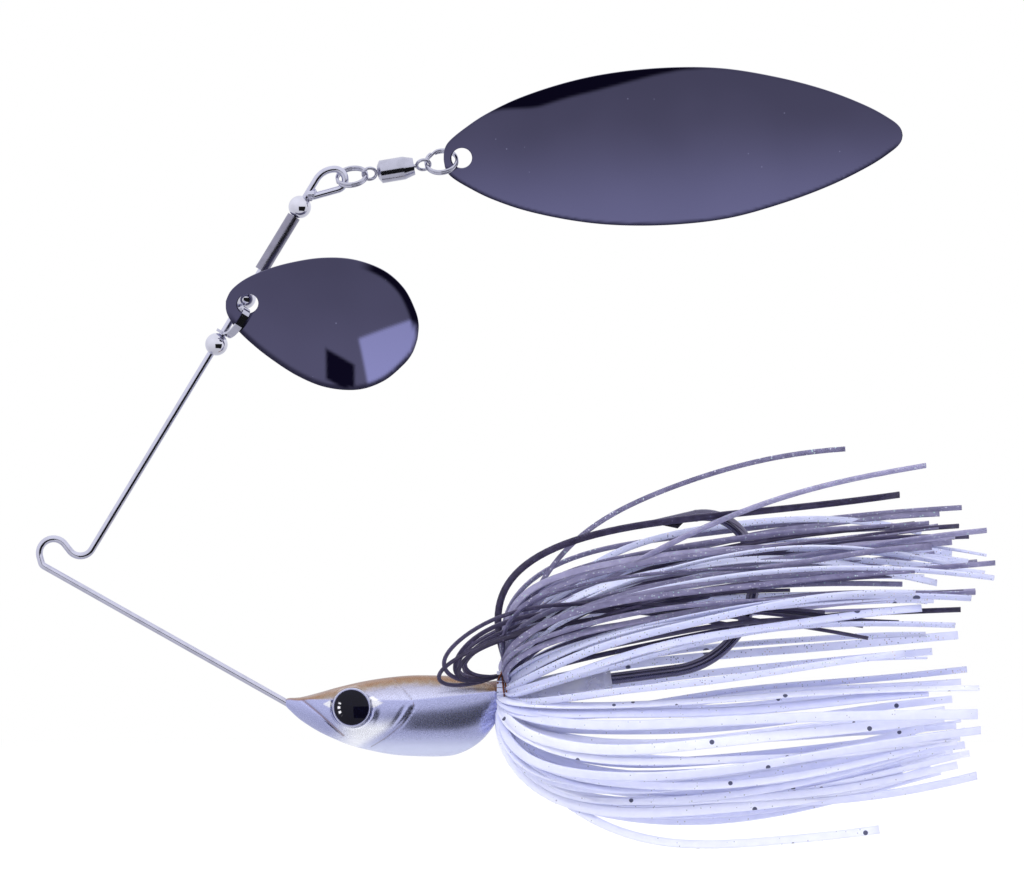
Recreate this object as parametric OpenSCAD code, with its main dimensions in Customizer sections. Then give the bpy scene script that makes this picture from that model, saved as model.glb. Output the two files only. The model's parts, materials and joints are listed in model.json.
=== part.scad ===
// Double-blade spinnerbait: bent wire form, swinging front blade on a clevis, swivel-hung rear
// blade, fish-shaped cast head with dome eyes, hook, trailer keeper and silicone skirt.
// Millimetres. Origin at the centre of the line-tie bend in the wire, +X to the tail of the
// lure, +Z up towards the blades, so the wire and the hook both lie in the XZ plane.

/* [Show] */
// Which sub-part to draw

/* [Wire form] */
// Diameter of the stainless wire
wire_d = 0.9; // [0.8:0.05:1.0]
// Length of the lower arm from the line tie to the eye inside the head
lower_arm = 39.8; // [39:0.1:40.6]
// Length of the upper arm from the line tie to the end loop
upper_arm = 55.4; // [55.4:0.2:60]
// Slope of the lower arm below the horizontal
lower_slope = 29.4; // [29:0.1:30]
// Slope of the upper arm above the horizontal
upper_slope = 58.75; // [56:0.25:60]
// Centreline radius of the line-tie bend
tie_r = 1.82; // [1.7:0.02:2]
// Centreline radius of the round end of the top loop
loop_r = 1.34; // [1.34:0.01:1.4]

/* [Beads and tube] */
// Diameter of the three round beads
bead_d = 2.9; // [2.7:0.1:3.0]
// Outside diameter of the spacer tube
tube_d = 1.73; // [1.6:0.01:1.9]
// Length of the spacer tube
tube_len = 8.1; // [7.5:0.1:8.4]
// Distance of the lower bead along the upper arm
lower_bead_at = 30.72; // [30.4:0.02:30.9]

/* [Clevis] */
// Width of the clevis strip
clevis_w = 1.0; // [0.9:0.05:1.05]
// Thickness of the clevis strip
clevis_t = 0.35; // [0.3:0.05:0.35]

/* [Blades] */
// Thickness of the small front blade
front_t = 0.5; // [0.4:0.05:0.5]
// Radius of the front blade's lengthways curve
front_curve = 34; // [34:1:37]
// Thickness of the long rear blade
rear_t = 0.6; // [0.5:0.05:0.65]
// Radius of the rear blade's lengthways curve
rear_curve = 130; // [120:5:150]
// Radius of the hole in each blade
blade_hole_r = 1.3; // [1.25:0.01:1.35]

/* [Swivel chain] */
// Outside diameter of the barrel swivel
barrel_d = 2.95; // [2.7:0.05:3.1]
// Diameter of the wire in the split rings
ring_wire = 0.4; // [0.36:0.02:0.42]
// Diameter of the wire in the swivel's eyes
eye_wire = 0.42; // [0.38:0.02:0.44]

/* [Head] */
// Greatest thickness of the cast head from side to side
head_w = 8.5; // [8:0.1:9.2]
// Diameter of the eyes
fish_eye_d = 5.06; // [4.6:0.02:5.1]
// Height of the clear eye dome
dome_h = 0.8; // [0.6:0.05:1]

/* [Hook] */
// Diameter of the hook's wire
hook_d = 1.5; // [1.3:0.05:1.6]
// Greatest diameter of the trailer keeper
keeper_d = 3.55; // [3.2:0.05:3.8]

/* [Skirt] */
// Width of one silicone strand
strand_w = 1.05; // [0.9:0.05:1.2]
// Thickness of one silicone strand
strand_t = 0.38; // [0.34:0.02:0.42]
// Diameter of the copper tie wire
tie_wire_d = 0.3; // [0.24:0.02:0.34]

/* [Hidden] */
$fn = 48;

steel = [0.78, 0.78, 0.82];
dark_nickel = [0.22, 0.21, 0.28];
run_gap = 0.06; // radial clearance of what turns on a wire or stem
touch_gap = 0.05; // gap between parts that only rest on each other

// ---- path walking in the XZ plane: a step is [length] or [radius, signed turn] ----
function after_line(p, len) = [p[0] + len * cos(p[2]), p[1] + len * sin(p[2]), p[2]];
function after_arc(p, r, turn) = let (side = turn > 0 ? 1 : -1, cx = p[0] - side * r * sin(p[2]),
    cz = p[1] + side * r * cos(p[2]), h = p[2] + turn)
    [cx + side * r * sin(h), cz - side * r * cos(h), h];
function after_step(p, s) = len(s) == 1 ? after_line(p, s[0]) : after_arc(p, s[0], s[1]);
function after_steps(p, steps, n, i = 0) = i >= n ? p : after_steps(after_step(p, steps[i]), steps, n, i + 1);

// Puts children drawn in XY, with their path along +X, at a state [x, z, heading] of the XZ plane
module at_state(p) {
    translate([p[0], 0, p[1]]) rotate([90, 0, 0]) rotate([0, 0, p[2]]) children();
}

// Sweeps the flat section, drawn with its middle at the origin, along one step
module sweep_step(s) {
    if (len(s) == 1) {
        rotate([90, 0, 90]) linear_extrude(height = s[0]) children();
    } else {
        side = s[1] > 0 ? 1 : -1;
        translate([0, side * s[0], 0]) rotate([0, 0, side > 0 ? -90 : 90 + s[1]])
            rotate_extrude(angle = abs(s[1])) translate([s[0], 0]) children();
    }
}

// Steps shortened at their start, so that a ball at each bend is what joins the neighbours
joint_gap = 0.05;
joint_extra = 0.03;
function gap_turn(s) = (s[1] > 0 ? 1 : -1) * joint_gap / s[0] * 57.3;
function trimmed(s) = len(s) == 1 ? [s[0] - joint_gap] : [s[0], s[1] - gap_turn(s)];
function trimmed_state(p, s) = len(s) == 1 ? after_line(p, joint_gap) : after_arc(p, s[0], gap_turn(s));

module round_wire(start, steps, d) {
    for (i = [0:len(steps) - 1]) {
        p = after_steps(start, steps, i);
        at_state(trimmed_state(p, steps[i])) sweep_step(trimmed(steps[i])) circle(d = d);
        if (i > 0) translate([p[0], 0, p[1]]) sphere(d = d + 2 * joint_extra);
    }
}

// ---- wire form ----
tie_heading = 105; // where the tie's arc starts, after the tight bend at the lower arm
tie_bend_r = 0.7;
tie_straight = 0.8;
tie_exit = 51.9; // slope of the wire between the tie's arc and the dip
tie_link = 1.063;
dip_r = 1.72;
loop_shoulder_r = 2.74;
loop_close = 164.5;
loop_leg = 3.2;
wire_start = let (a = after_arc([tie_r * cos(tie_heading + 90), tie_r * sin(tie_heading + 90), tie_heading + 180],
    0.001, 0.001), b = after_line(a, tie_straight),
    c = after_arc(b, tie_bend_r, 180 - lower_slope - tie_heading), d = after_line(c, lower_arm))
    [d[0], d[1], 180 - lower_slope];
wire_steps = [[lower_arm], [tie_bend_r, -(180 - lower_slope - tie_heading)], [tie_straight],
    [tie_r, -(tie_heading + tie_exit)], [tie_link], [dip_r, tie_exit + upper_slope], [upper_arm],
    [loop_shoulder_r, -upper_slope], [loop_r, -loop_close], [loop_leg]];
arm_state = after_steps(wire_start, wire_steps, 6);
loop_state = after_steps(wire_start, wire_steps, 8);
loop_c = [loop_state[0], loop_state[1] - loop_r];
weld_r = 0.72;
weld_back = 2.0; // distance of the weld from the end of the straight arm
inner_eye_r = 1.3; // eye at the cast-in end of the wire
inner_eye_wire = wire_d + 0.08;

module on_arm(s) {
    translate([arm_state[0] + s * cos(upper_slope), 0, arm_state[1] + s * sin(upper_slope)])
        rotate([0, 90 - upper_slope, 0]) children();
}

module inner_eye() {
    translate([wire_start[0], 0, wire_start[1]]) rotate([0, lower_slope, 0])
        translate([inner_eye_r, 0, 0]) rotate_extrude() translate([inner_eye_r, 0]) circle(d = inner_eye_wire);
}

module wire_solid() {
    union() {
        round_wire(wire_start, wire_steps, wire_d);
        inner_eye();
        on_arm(upper_arm - weld_back) translate([0.32, 0, 0]) sphere(r = weld_r);
    }
}

module wire_form() {
    color(steel) wire_solid();
}

// ---- beads and tube on the upper arm ----
clevis_lower_r = 2.3;
clevis_upper_r = 1.0;
clevis_reverse_r = 0.6;
clevis_ear_r = 0.95;
clevis_tip = 215;
clevis_out = 1.25;
clevis_steps = [[clevis_out], [clevis_lower_r, 90], [0.9], [clevis_upper_r, clevis_tip - 90], [0.4],
    [clevis_reverse_r, -(clevis_tip - 180)], [1.3]];
clevis_span = after_steps([0, 0, 0], clevis_steps, len(clevis_steps))[1];
bead_r = bead_d / 2;
bore_r = wire_d / 2 + run_gap;
clevis_low_at = lower_bead_at + sqrt(bead_r * bead_r - bore_r * bore_r) + 0.12 + clevis_t / 2;
bearing_bead_at = clevis_low_at + clevis_span + clevis_t / 2 + 0.08 + sqrt(bead_r * bead_r - bore_r * bore_r);
upper_bead_at = upper_arm - 4.12;
bead_seat = sqrt(bead_r * bead_r - bore_r * bore_r); // from a bead's middle to the rim of its bore
tube_end_at = upper_bead_at - bead_seat - touch_gap;
bead_travel = tube_end_at - tube_len - bead_seat - bearing_bead_at;

module bead(at, hole_r) {
    on_arm(at) difference() {
        sphere(d = bead_d);
        cylinder(r = hole_r, h = 2 * bead_d, center = true);
    }
}

module lower_bead() {
    color(steel) bead(lower_bead_at, wire_d / 2);
}

module bearing_bead() {
    color(steel) bead(bearing_bead_at, bore_r);
}

module upper_bead() {
    color(steel) bead(upper_bead_at, bore_r);
}

module spacer_tube() {
    color([0.45, 0.44, 0.5]) on_arm(tube_end_at - tube_len) difference() {
        cylinder(d = tube_d, h = tube_len);
        translate([0, 0, -1]) cylinder(r = bore_r, h = tube_len + 2);
    }
}

// ---- clevis: strip bent into a stirrup, drawn along X (out from the wire) and Y (along it) ----
clevis_side = 68; // how far the stirrup is turned from the wire plane towards -Y

module clevis_ear(at) {
    translate([0, at, 0]) rotate([90, 0, 0]) difference() {
        cylinder(r = clevis_ear_r, h = clevis_t, center = true);
        cylinder(r = bore_r, h = 2, center = true);
    }
}

function step_states(p, s, n) = [for (k = [0:n - 1])
    len(s) == 1 ? after_line(p, s[0] * k / n) : after_arc(p, s[0], s[1] * k / n)];
function path_states(steps, n) = concat([for (i = [0:len(steps) - 1])
    each step_states(after_steps([0, 0, 0], steps, i), steps[i], len(steps[i]) == 1 ? 1 : n)],
    [after_steps([0, 0, 0], steps, len(steps))]);
function beside(p, off) = [p[0] - off * sin(p[2]), p[1] + off * cos(p[2])];

module clevis_strip() {
    states = path_states(clevis_steps, 9);
    difference() {
        translate([0, 0, -clevis_w / 2]) linear_extrude(height = clevis_w) polygon(concat(
            [for (q = states) beside(q, clevis_t / 2)],
            [for (i = [len(states) - 1:-1:0]) beside(states[i], -clevis_t / 2)]));
        translate([0, clevis_span / 2, 0]) rotate([90, 0, 0]) cylinder(r = bore_r, h = 20, center = true);
    }
}

module clevis() {
    color(steel) on_arm(clevis_low_at) rotate([0, 0, -clevis_side]) rotate([90, 0, 0]) {
        union() {
            clevis_strip();
            clevis_ear(0);
            clevis_ear(clevis_span);
        }
    }
}

// ---- blades: local X from the hole to the tip, local Z across, bulging to +Y ----
function clampi(i, n) = i < 0 ? 0 : (i > n ? n : i);
function catmull(a, b, c, d, t) = 0.5 * (2 * b + (c - a) * t + (2 * a - 5 * b + 4 * c - d) * t * t
    + (3 * b - a - 3 * c + d) * t * t * t);
function smooth_at(pts, i, t) = let (n = len(pts) - 1) catmull(pts[clampi(i - 1, n)], pts[i],
    pts[clampi(i + 1, n)], pts[clampi(i + 2, n)], t);
function smooth(pts, steps) = [for (i = [0:len(pts) - 2]) for (k = [0:steps - 1]) smooth_at(pts, i, k / steps)];
function both_sides(half) = concat([for (p = half) p], [for (i = [len(half) - 1:-1:1]) [half[i][0], -half[i][1]]]);

// Half outlines: distance from the hole, half width
front_half = [[-2.75, 0], [-2.5, 1.15], [-1.9, 2.15], [-0.8, 3.3], [1, 4.6], [4, 6.25], [8, 7.82], [12, 8.5],
    [16, 7.95], [19, 6.2], [21, 3.7], [21.85, 1.9], [22.1, 0]];
rear_half = [[-2.3, 0], [-2.1, 1.3], [-1.4, 2.35], [0.5, 3.75], [3.5, 5.5], [8, 7.35], [14, 8.95], [20, 9.85],
    [27, 10.12], [34, 9.62], [41, 8.05], [47, 6.1], [52, 3.85], [55, 2.0], [56.1, 0.95], [56.4, 0]];
front_mid = 13; // distance from the hole to the deepest point
front_cross = 17; // radius across the blade
rear_mid = 27;
rear_cross = 22;
front_drop = front_mid * front_mid / (2 * front_curve);
rear_drop = rear_curve - sqrt(rear_curve * rear_curve - rear_mid * rear_mid);

module dished_sheet(mid, curve, cross, t, reach) {
    translate([mid, -curve, 0]) rotate([0, 0, 90 - reach]) rotate_extrude(angle = 2 * reach, $fn = 360)
        translate([curve - cross, 0]) difference() {
            circle(r = cross, $fn = 180);
            circle(r = cross - t, $fn = 180);
            translate([-2 * cross, -2 * cross]) square([2.6 * cross, 4 * cross]);
        }
}

module blade(half, mid, curve, cross, t, reach, drop, steps) {
    difference() {
        intersection() {
            translate([0, drop, 0]) dished_sheet(mid, curve, cross, t, reach);
            translate([0, 12, 0]) rotate([90, 0, 0]) linear_extrude(height = 24)
                polygon(both_sides(smooth(half, steps)));
        }
        rotate([0, 0, asin(mid / curve)]) rotate([90, 0, 0]) cylinder(r = blade_hole_r, h = 6, center = true);
    }
}

front_hole = [24.99, -1.78, 31.96];
front_turn = 12.5; // how far the front blade's axis points below +X
front_roll = 12; // how far the blade hangs turned about its own axis
rear_turn = 2.9; // how far the rear blade's axis points above +X
rear_roll = 11;
rear_yaw = -4; // how far its tip lies towards -Y

module front_blade() {
    color(dark_nickel) translate(front_hole) rotate([0, front_turn, 0]) rotate([front_roll, 0, 0])
        blade(front_half, front_mid, front_curve, front_cross, front_t, 40, front_drop, 4);
}

module rear_blade() {
    color(dark_nickel) translate(rear_hole) rotate([0, -rear_turn, rear_yaw]) rotate([rear_roll, 0, 0])
        blade(rear_half, rear_mid, rear_curve, rear_cross, rear_t, 16, rear_drop, 4);
}

// ---- swivel chain: local X along the chain from the front ring's middle ----
chain_slope = 9.5;
front_ring_r = 1.92;
rear_ring_r = 2.0;
front_ring_lean = 54; // turn of the ring about the chain from face-on
rear_ring_lean = 44;
ring_hang = [2.195, 0.366]; // from the middle of the wire's loop to the middle of the ring
front_ring_c = [loop_c[0] + ring_hang[0], 0, loop_c[1] + ring_hang[1]];
rear_ring_at = 11.62;
rear_hang = [14.08, 0.5, 2.4779]; // from the front ring's middle to the rear blade's hole
rear_hole = front_ring_c + rear_hang;
swivel_eye_r = 0.85;
front_eye_at = front_ring_r - ring_wire / 2 - 0.06 - eye_wire / 2 + swivel_eye_r;
rear_eye_at = rear_ring_at - rear_ring_r + ring_wire / 2 + 0.1 + eye_wire / 2 - swivel_eye_r;
stem_r = 0.26;
knob_r = 0.7;
barrel_front = 3.34;
barrel_rear = 8.06;

module on_chain(at, lean = 0) {
    translate(front_ring_c) rotate([0, -chain_slope, 0]) translate([at, 0, 0]) rotate([lean, 0, 0]) children();
}

// Two turns of wire side by side, their flat face normal along local Y
module split_ring(r) {
    rotate([90, 0, 0]) rotate_extrude() translate([r, 0]) {
        translate([0, ring_wire * 0.46]) circle(d = ring_wire, $fn = 32);
        translate([0, -ring_wire * 0.46]) circle(d = ring_wire, $fn = 32);
    }
}

module front_ring() {
    color(steel) on_chain(0, -front_ring_lean) split_ring(front_ring_r);
}

module rear_ring() {
    color(steel) on_chain(rear_ring_at, -rear_ring_lean) split_ring(rear_ring_r);
}

// Eye with a stem and a round stop that is held inside the barrel, stem along +X
module swivel_eye(stem) {
    union() {
        rotate([90, 0, 0]) rotate_extrude() translate([swivel_eye_r, 0]) circle(d = eye_wire, $fn = 32);
        translate([swivel_eye_r, 0, 0]) rotate([0, 90, 0]) cylinder(r = stem_r, h = stem - swivel_eye_r);
        translate([stem, 0, 0]) rotate([0, 90, 0]) cylinder(r = knob_r, h = 0.5);
    }
}

module swivel_front_eye() {
    color(steel) on_chain(front_eye_at, 90 - front_ring_lean) swivel_eye(4.0 - front_eye_at);
}

module swivel_rear_eye() {
    color(steel) on_chain(rear_eye_at, 90 - rear_ring_lean) mirror([1, 0, 0]) swivel_eye(rear_eye_at - 7.3);
}

module swivel_barrel() {
    br = barrel_d / 2;
    color(steel) on_chain(0) rotate([90, 0, 90]) rotate_extrude($fn = 64) polygon([
        [stem_r + run_gap, barrel_front], [br * 0.52, barrel_front], [br * 0.72, barrel_front + 0.16],
        [br, barrel_front + 0.42], [br, barrel_rear - 1.32], [br * 0.74, barrel_rear],
        [stem_r + run_gap, barrel_rear], [stem_r + run_gap, barrel_rear - 0.45],
        [br * 0.62, barrel_rear - 0.45], [br * 0.74, barrel_rear - 1.32], [br * 0.74, barrel_front + 0.5],
        [stem_r + run_gap, barrel_front + 0.5]]);
}

// ---- hook: shank on a rising axis out of the head, round bend, point towards the head ----
shank_rise = 7.4;
shank_low = [34.86, -20.86]; // a point on the shank's axis, under the eye
hook_eye_x = 37.6;
shank_eye = [hook_eye_x, shank_low[1] + (hook_eye_x - shank_low[0]) * tan(shank_rise)];
hook_eye_r = 1.5;
hook_eye_wire = 1.1;
shank_len = 40.937;
hook_steps = [[shank_len], [11.2, 52.1], [12.6, 48.5], [6.06, 81.6]];
hook_start = [shank_eye[0], shank_eye[1], shank_rise];
spear_state = after_steps(after_line(hook_start, hook_eye_r), hook_steps, 4);
spear_len = 10.8;
axis_at = function(x) shank_eye[1] + (x - shank_eye[0]) * tan(shank_rise);

module hook_solid() {
    union() {
        round_wire(after_line(hook_start, hook_eye_r), hook_steps, hook_d);
        translate([shank_eye[0], 0, shank_eye[1]]) rotate([90, 0, 0])
            rotate_extrude() translate([hook_eye_r, 0]) circle(d = hook_eye_wire);
        translate([spear_state[0], 0, spear_state[1]]) sphere(d = hook_d + 2 * joint_extra);
        at_state(after_line(spear_state, joint_gap)) rotate([0, 90, 0])
            cylinder(d1 = hook_d, d2 = 0.16, h = spear_len);
        at_state(spear_state) translate([0, 0, -0.25]) linear_extrude(height = 0.5)
            polygon([[1.2, 0.2], [2.6, 1.22], [5.2, 0.2]]);
    }
}

module hook() {
    color([0.2, 0.19, 0.24]) hook_solid();
}

// ---- cast head: stations of distance from the nose, top, bottom and share of the half width ----
nose_x = 29.75;
head_rows = [[0, -18.7, -19.62, 0.13], [0.45, -18.55, -20.1, 0.2], [1.9, -18.45, -21.4, 0.34], [4.1, -17.9, -22.8, 0.54],
    [6.2, -17.3, -23.8, 0.69], [8.2, -16.8, -24.6, 0.8], [10.3, -16.35, -25.15, 0.89], [13.3, -15.9, -25.75, 0.965],
    [16.4, -15.65, -26.0, 1.0], [20.5, -15.7, -26.0, 0.97], [22.6, -15.95, -25.5, 0.9], [24.4, -16.25, -24.5, 0.8],
    [25.7, -16.5, -23.3, 0.7], [26.8, -16.75, -21.8, 0.6], [27.7, -16.95, -20.3, 0.52], [28.3, -17.1, -19.1, 0.42]];
head_steps = 2;
head_sides = 28;
function head_point(row, a) = let (h = (row[1] - row[2]) / 2, m = (row[1] + row[2]) / 2,
    c = cos(a), s = sin(a))
    [nose_x + row[0], row[3] * head_w / 2 * sign(c) * pow(abs(c), 0.92), m + h * sign(s) * pow(abs(s), 0.96)];

module loft(rows, sides) {
    n = len(rows);
    polyhedron(
        points = [for (r = rows) for (k = [0:sides - 1]) head_point(r, 360 * k / sides)],
        faces = concat([[for (k = [0:sides - 1]) k]], [[for (k = [sides - 1:-1:0]) (n - 1) * sides + k]],
            [for (i = [0:n - 2]) for (k = [0:sides - 1]) let (a = i * sides + k, b = i * sides + (k + 1) % sides)
                each [[a, a + sides, b], [b, a + sides, b + sides]]]));
}

eye_at = [38.3, -19.6];
eye_lean = 9; // the eye faces slightly forward
eye_seat = 3.3; // distance of the eye's seat from the middle plane
eye_t = 0.3;
collar_d = 3.4;
neck_x = 57.9;
neck = [neck_x, axis_at(neck_x)];

module eye_frame(side) {
    mirror([0, side > 0 ? 0 : 1, 0]) translate([eye_at[0], eye_seat, eye_at[1]]) rotate([0, 0, eye_lean])
        rotate([-90, 0, 0]) children();
}

module on_shank(x) {
    translate([x, 0, axis_at(x)]) rotate([0, 90 - shank_rise, 0]) children();
}

collar_len = 3.4;

module head_casting() {
    color([0.8, 0.81, 0.85]) difference() {
        union() {
            loft(concat(smooth(head_rows, head_steps), [head_rows[len(head_rows) - 1]]), head_sides);
            on_shank(neck_x - 2.6) cylinder(d = collar_d, h = collar_len);
        }
        wire_solid();
        hook_solid();
        eye_frame(1) cylinder(d = fish_eye_d, h = 4);
        eye_frame(-1) cylinder(d = fish_eye_d, h = 4);
    }
}

module eye_disc(side) {
    color([0.85, 0.86, 0.9]) eye_frame(side) cylinder(d = fish_eye_d, h = eye_t);
}

module eye_disc_left() {
    eye_disc(-1);
}

module eye_disc_right() {
    eye_disc(1);
}

// A shallow cap cut from a sphere, resting on the disc
module eye_dome(side) {
    cap_r = fish_eye_d / 2 - 0.14;
    ball = (cap_r * cap_r + dome_h * dome_h) / (2 * dome_h);
    color([0.05, 0.05, 0.07]) eye_frame(side) intersection() {
        translate([0, 0, eye_t + dome_h - ball]) sphere(r = ball);
        translate([0, 0, eye_t]) cylinder(r = cap_r + 1, h = 3);
    }
}

module eye_dome_left() {
    eye_dome(-1);
}

module eye_dome_right() {
    eye_dome(1);
}

// ---- trailer keeper: soft sleeve pushed over the shank, wider towards its rear lip ----
keeper_x = 59.3;
keeper_len = 12.2;

module trailer_keeper() {
    k = keeper_d / 2;
    color([0.84, 0.84, 0.95]) on_shank(keeper_x) difference() {
        rotate_extrude() polygon([[0, 0], [k * 0.62, 0], [k * 0.7, 0.3], [k * 0.98, 9.6], [k, 10.6],
            [k * 0.98, 11.2], [k * 0.62, keeper_len], [0, keeper_len]]);
        translate([0, 0, -1]) cylinder(d = hook_d, h = keeper_len + 2);
    }
}

// ---- tie wire: turns of copper wire that squeeze the skirt on the collar, with a loose end ----
bundle_r = 3.05;

module tie_wire() {
    color([0.72, 0.42, 0.25]) union() {
        for (k = [0:3]) on_shank(neck_x - 0.42 + k * 0.27)
            rotate_extrude() translate([bundle_r, 0]) circle(d = tie_wire_d, $fn = 24);
        on_shank(neck_x - 0.5) translate([-bundle_r, 0, 0]) rotate([0, -64, 0]) cylinder(d = tie_wire_d, h = 3.4, $fn = 24);
    }
}

// ---- skirt: flat silicone strands bent out from under the tie and trailing to the tail ----
function wobble(i, k) = let (v = sin(i * 78.233 + k * 37.719 + 12.9) * 43.7585) v - floor(v);
function spread(i, k) = 2 * wobble(i, k) - 1;
function unit(v) = v / max(norm(v), 0.000001);
function bezier(p, t) = let (u = 1 - t)
    p[0] * u * u * u + p[1] * 3 * u * u * t + p[2] * 3 * u * t * t + p[3] * t * t * t;
function bezier_dir(p, t) = let (u = 1 - t)
    unit((p[1] - p[0]) * u * u + (p[2] - p[1]) * 2 * u * t + (p[3] - p[2]) * t * t);
function around(a) = [0, -cos(a), sin(a)];
neck3 = [neck[0], 0, neck[1]];
layer_t = 0.24; // thickness of one squeezed layer of strands under the tie
layer_r0 = collar_d / 2 + 0.03;
band_half = 1.1;

// Where a strand of a layer leaves the band, on its rear edge or its front edge (dir 1 or -1)
function root(a, layer, dir = 1) = neck3 + around(a) * (layer_r0 + layer_t * (layer + 0.5)) + [dir * 0.75, 0, 0];

// Which side of the hook a strand passes: those nearly straight up or down take turns
hook_berth = 3.3; // strands stay this far out to the side, so the hook's gap stays open
function side_of(a, i) = abs(cos(a)) < 0.35 ? (i % 2 == 0 ? -1 : 1) : (cos(a) > 0 ? -1 : 1);

// Control points of a strand that leaves the band at angle a (90 is up, 0 is towards -Y), swells
// out by bulge, and ends at [x, y, z]; sag lifts the second half of its curve away from the axis
function route(a, layer, bulge, back, sag, end) = let (d = around(a), p0 = root(a, layer),
    g = end[1] < 0 ? -1 : 1)
    [p0, p0 + [back, d[1] * bulge * 0.7 + g * 2.2, d[2] * bulge],
     [neck3[0] + (end[0] - neck3[0]) * 0.42, g * max(abs(end[1]) + 1.5, hook_berth + 2), end[2] + d[2] * sag], end];

module strand(p, roll, seg) {
    n = seg;
    polyhedron(
        points = [for (i = [0:n]) let (t = pow(i / n, 1.2), c = bezier(p, t), d = bezier_dir(p, t),
            s0 = unit(cross(d, [0.01, 1, 0.02])), n0 = unit(cross(s0, d)),
            a = roll * (1 - 0.5 * t), s = s0 * cos(a) + n0 * sin(a), m = n0 * cos(a) - s0 * sin(a),
            w = strand_w / 2 * (i == 0 ? 0.55 : 1), h = strand_t / 2 * (i == 0 ? 0.5 : 1))
            each [c - s * w - m * h, c + s * w - m * h, c + s * w + m * h, c - s * w + m * h]],
        faces = concat([[3, 2, 1, 0]], [[4 * n, 4 * n + 1, 4 * n + 2, 4 * n + 3]],
            [for (i = [0:n - 1]) for (k = [0:3]) let (a = 4 * i + k, b = 4 * i + (k + 1) % 4)
                each [[a, b, b + 4], [a, b + 4, a + 4]]]));
}

// Corners of the band's cross-section at angle a: inner and outer, rear and front
function band_corners(a, layer) = [for (c = [[0, -1], [0.98, -1], [0.98, 1], [0, 1]])
    let (r = layer_r0 + layer_t * (layer + c[0]), x = c[1] * band_half, z = r * sin(a),
        tilt = shank_rise)
    neck3 + [x * cos(tilt) - z * sin(tilt), -r * cos(a), x * sin(tilt) + z * cos(tilt)]];

// The strands' squeezed middles: a thin band of one layer on the collar, under the tie
module band(a0, a1, layer) {
    n = 12;
    for (k = [0:n - 1]) hull() polyhedron(
        points = [for (e = [0, 1]) each band_corners(a0 + (a1 - a0) * (k + e) / n, layer)],
        faces = [[0, 1, 2, 3], [7, 6, 5, 4], [4, 5, 1, 0], [5, 6, 2, 1], [6, 7, 3, 2], [7, 4, 0, 3]]);
}

module skirt_group(n, a0, a1, layer, bulge, back, sag, x, y1, z, seed, seg = 9) {
    low = min(sin(a0), sin(a1), sin((a0 + a1) / 2));
    high = max(sin(a0), sin(a1), sin((a0 + a1) / 2));
    for (i = [0:n - 1]) {
        a = a0 + (a1 - a0) * (i + 0.5) / n + spread(i, seed) * 3;
        share = min(1, max(0, (sin(a) - low) / (high - low))) * 0.7 + 0.3 * wobble(i, seed + 5);
        strand(route(a, layer, bulge * (0.62 + 0.5 * wobble(i, seed + 1)), back + 1.5 * spread(i, seed + 2), sag,
            [x[0] + (x[1] - x[0]) * wobble(i, seed + 3),
             side_of(a, i) * max(hook_berth, abs(cos(a)) * y1 + 2.2 * spread(i, seed + 4)),
             z[0] + (z[1] - z[0]) * share]), 70 * spread(i, seed + 6), seg);
    }
    band(a0 - 6, a1 + 6, layer);
}

module skirt_white() {
    color([0.87, 0.88, 0.98]) union() {
        skirt_group(26, -165, -15, 0, 17, 1, 8, [108, 118], 9, [-29, -15], 5);
        strand([root(-80, 0), neck3 + [2, -4, -19], neck3 + [22, -5, -21], [105.5, -3, -35]], 30, 10);
    }
}

module skirt_pearl() {
    color([0.78, 0.8, 0.92]) union() {
        skirt_group(20, -30, 210, 3, 13, 3, 5, [108, 120], 9, [-17, 3], 11);
    }
}

module skirt_smoke() {
    color([0.6, 0.6, 0.74]) union() {
        skirt_group(24, 22, 158, 2, 20, -5, 3.5, [108, 120], 9, [-6, 7], 23);
        strand([root(84, 2), neck3 + [2, -4, 22], neck3 + [18, -5, 29], [101.2, -2, 13.1]], 20, 12);
        strand([root(76, 2), neck3 + [9, -6, 15.5], neck3 + [26, -5, 23.5], [111.4, -4, 11.4]], -20, 12);
    }
}

module skirt_dark() {
    color([0.22, 0.21, 0.32]) union() {
        skirt_group(12, 18, 162, 1, 15, 1, 3, [104, 118], 8, [-12, 7], 41);
        strand([root(97, 1), neck3 + [-8, -4, 21], neck3 + [14, -6, 21.5], [108.1, -3, 7.8]], 15, 12);
    }
}

// Dark strands that were left pointing forwards and curl back beside the head
module skirt_loops() {
    color([0.2, 0.19, 0.3]) union() {
        for (i = [0:4]) {
            y = [-3.8, -3.0, -3.4, 3.2, 3.9][i];
            lift = [0, 2.6, -2.2, 0.8, 2.2][i];
            strand([root(y < 0 ? 52 : 128, 4, -1), neck3 + [-14 + lift * 0.5, y * 1.9, -1.6 + lift * 0.5],
                neck3 + [-7 + lift, y * 1.6, 15 + lift], [84 + 5 * i, y * 1.6, -7 - lift]], 25 * spread(i, 51), 14);
        }
        band(30, 150, 4);
    }
}

wire_form();
lower_bead();
bearing_bead();
clevis();
front_blade();
spacer_tube();
upper_bead();
front_ring();
swivel_front_eye();
swivel_barrel();
swivel_rear_eye();
rear_ring();
rear_blade();
head_casting();
eye_disc_left();
eye_disc_right();
eye_dome_left();
eye_dome_right();
hook();
trailer_keeper();
tie_wire();
skirt_white();
skirt_pearl();
skirt_smoke();
skirt_dark();
skirt_loops();
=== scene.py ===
"""Looks of a double-blade spinnerbait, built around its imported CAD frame.

The frame is in metres: the origin is the line-tie bend of the wire, +X runs to the tail, +Z up
to the blades, and the near side of the lure is -Y. Lengths here are in millimetres until
add_mesh() turns them into metres.
"""
import json
import math

import bpy
import numpy as np
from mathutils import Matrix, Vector
from mathutils.geometry import delaunay_2d_cdt

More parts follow.
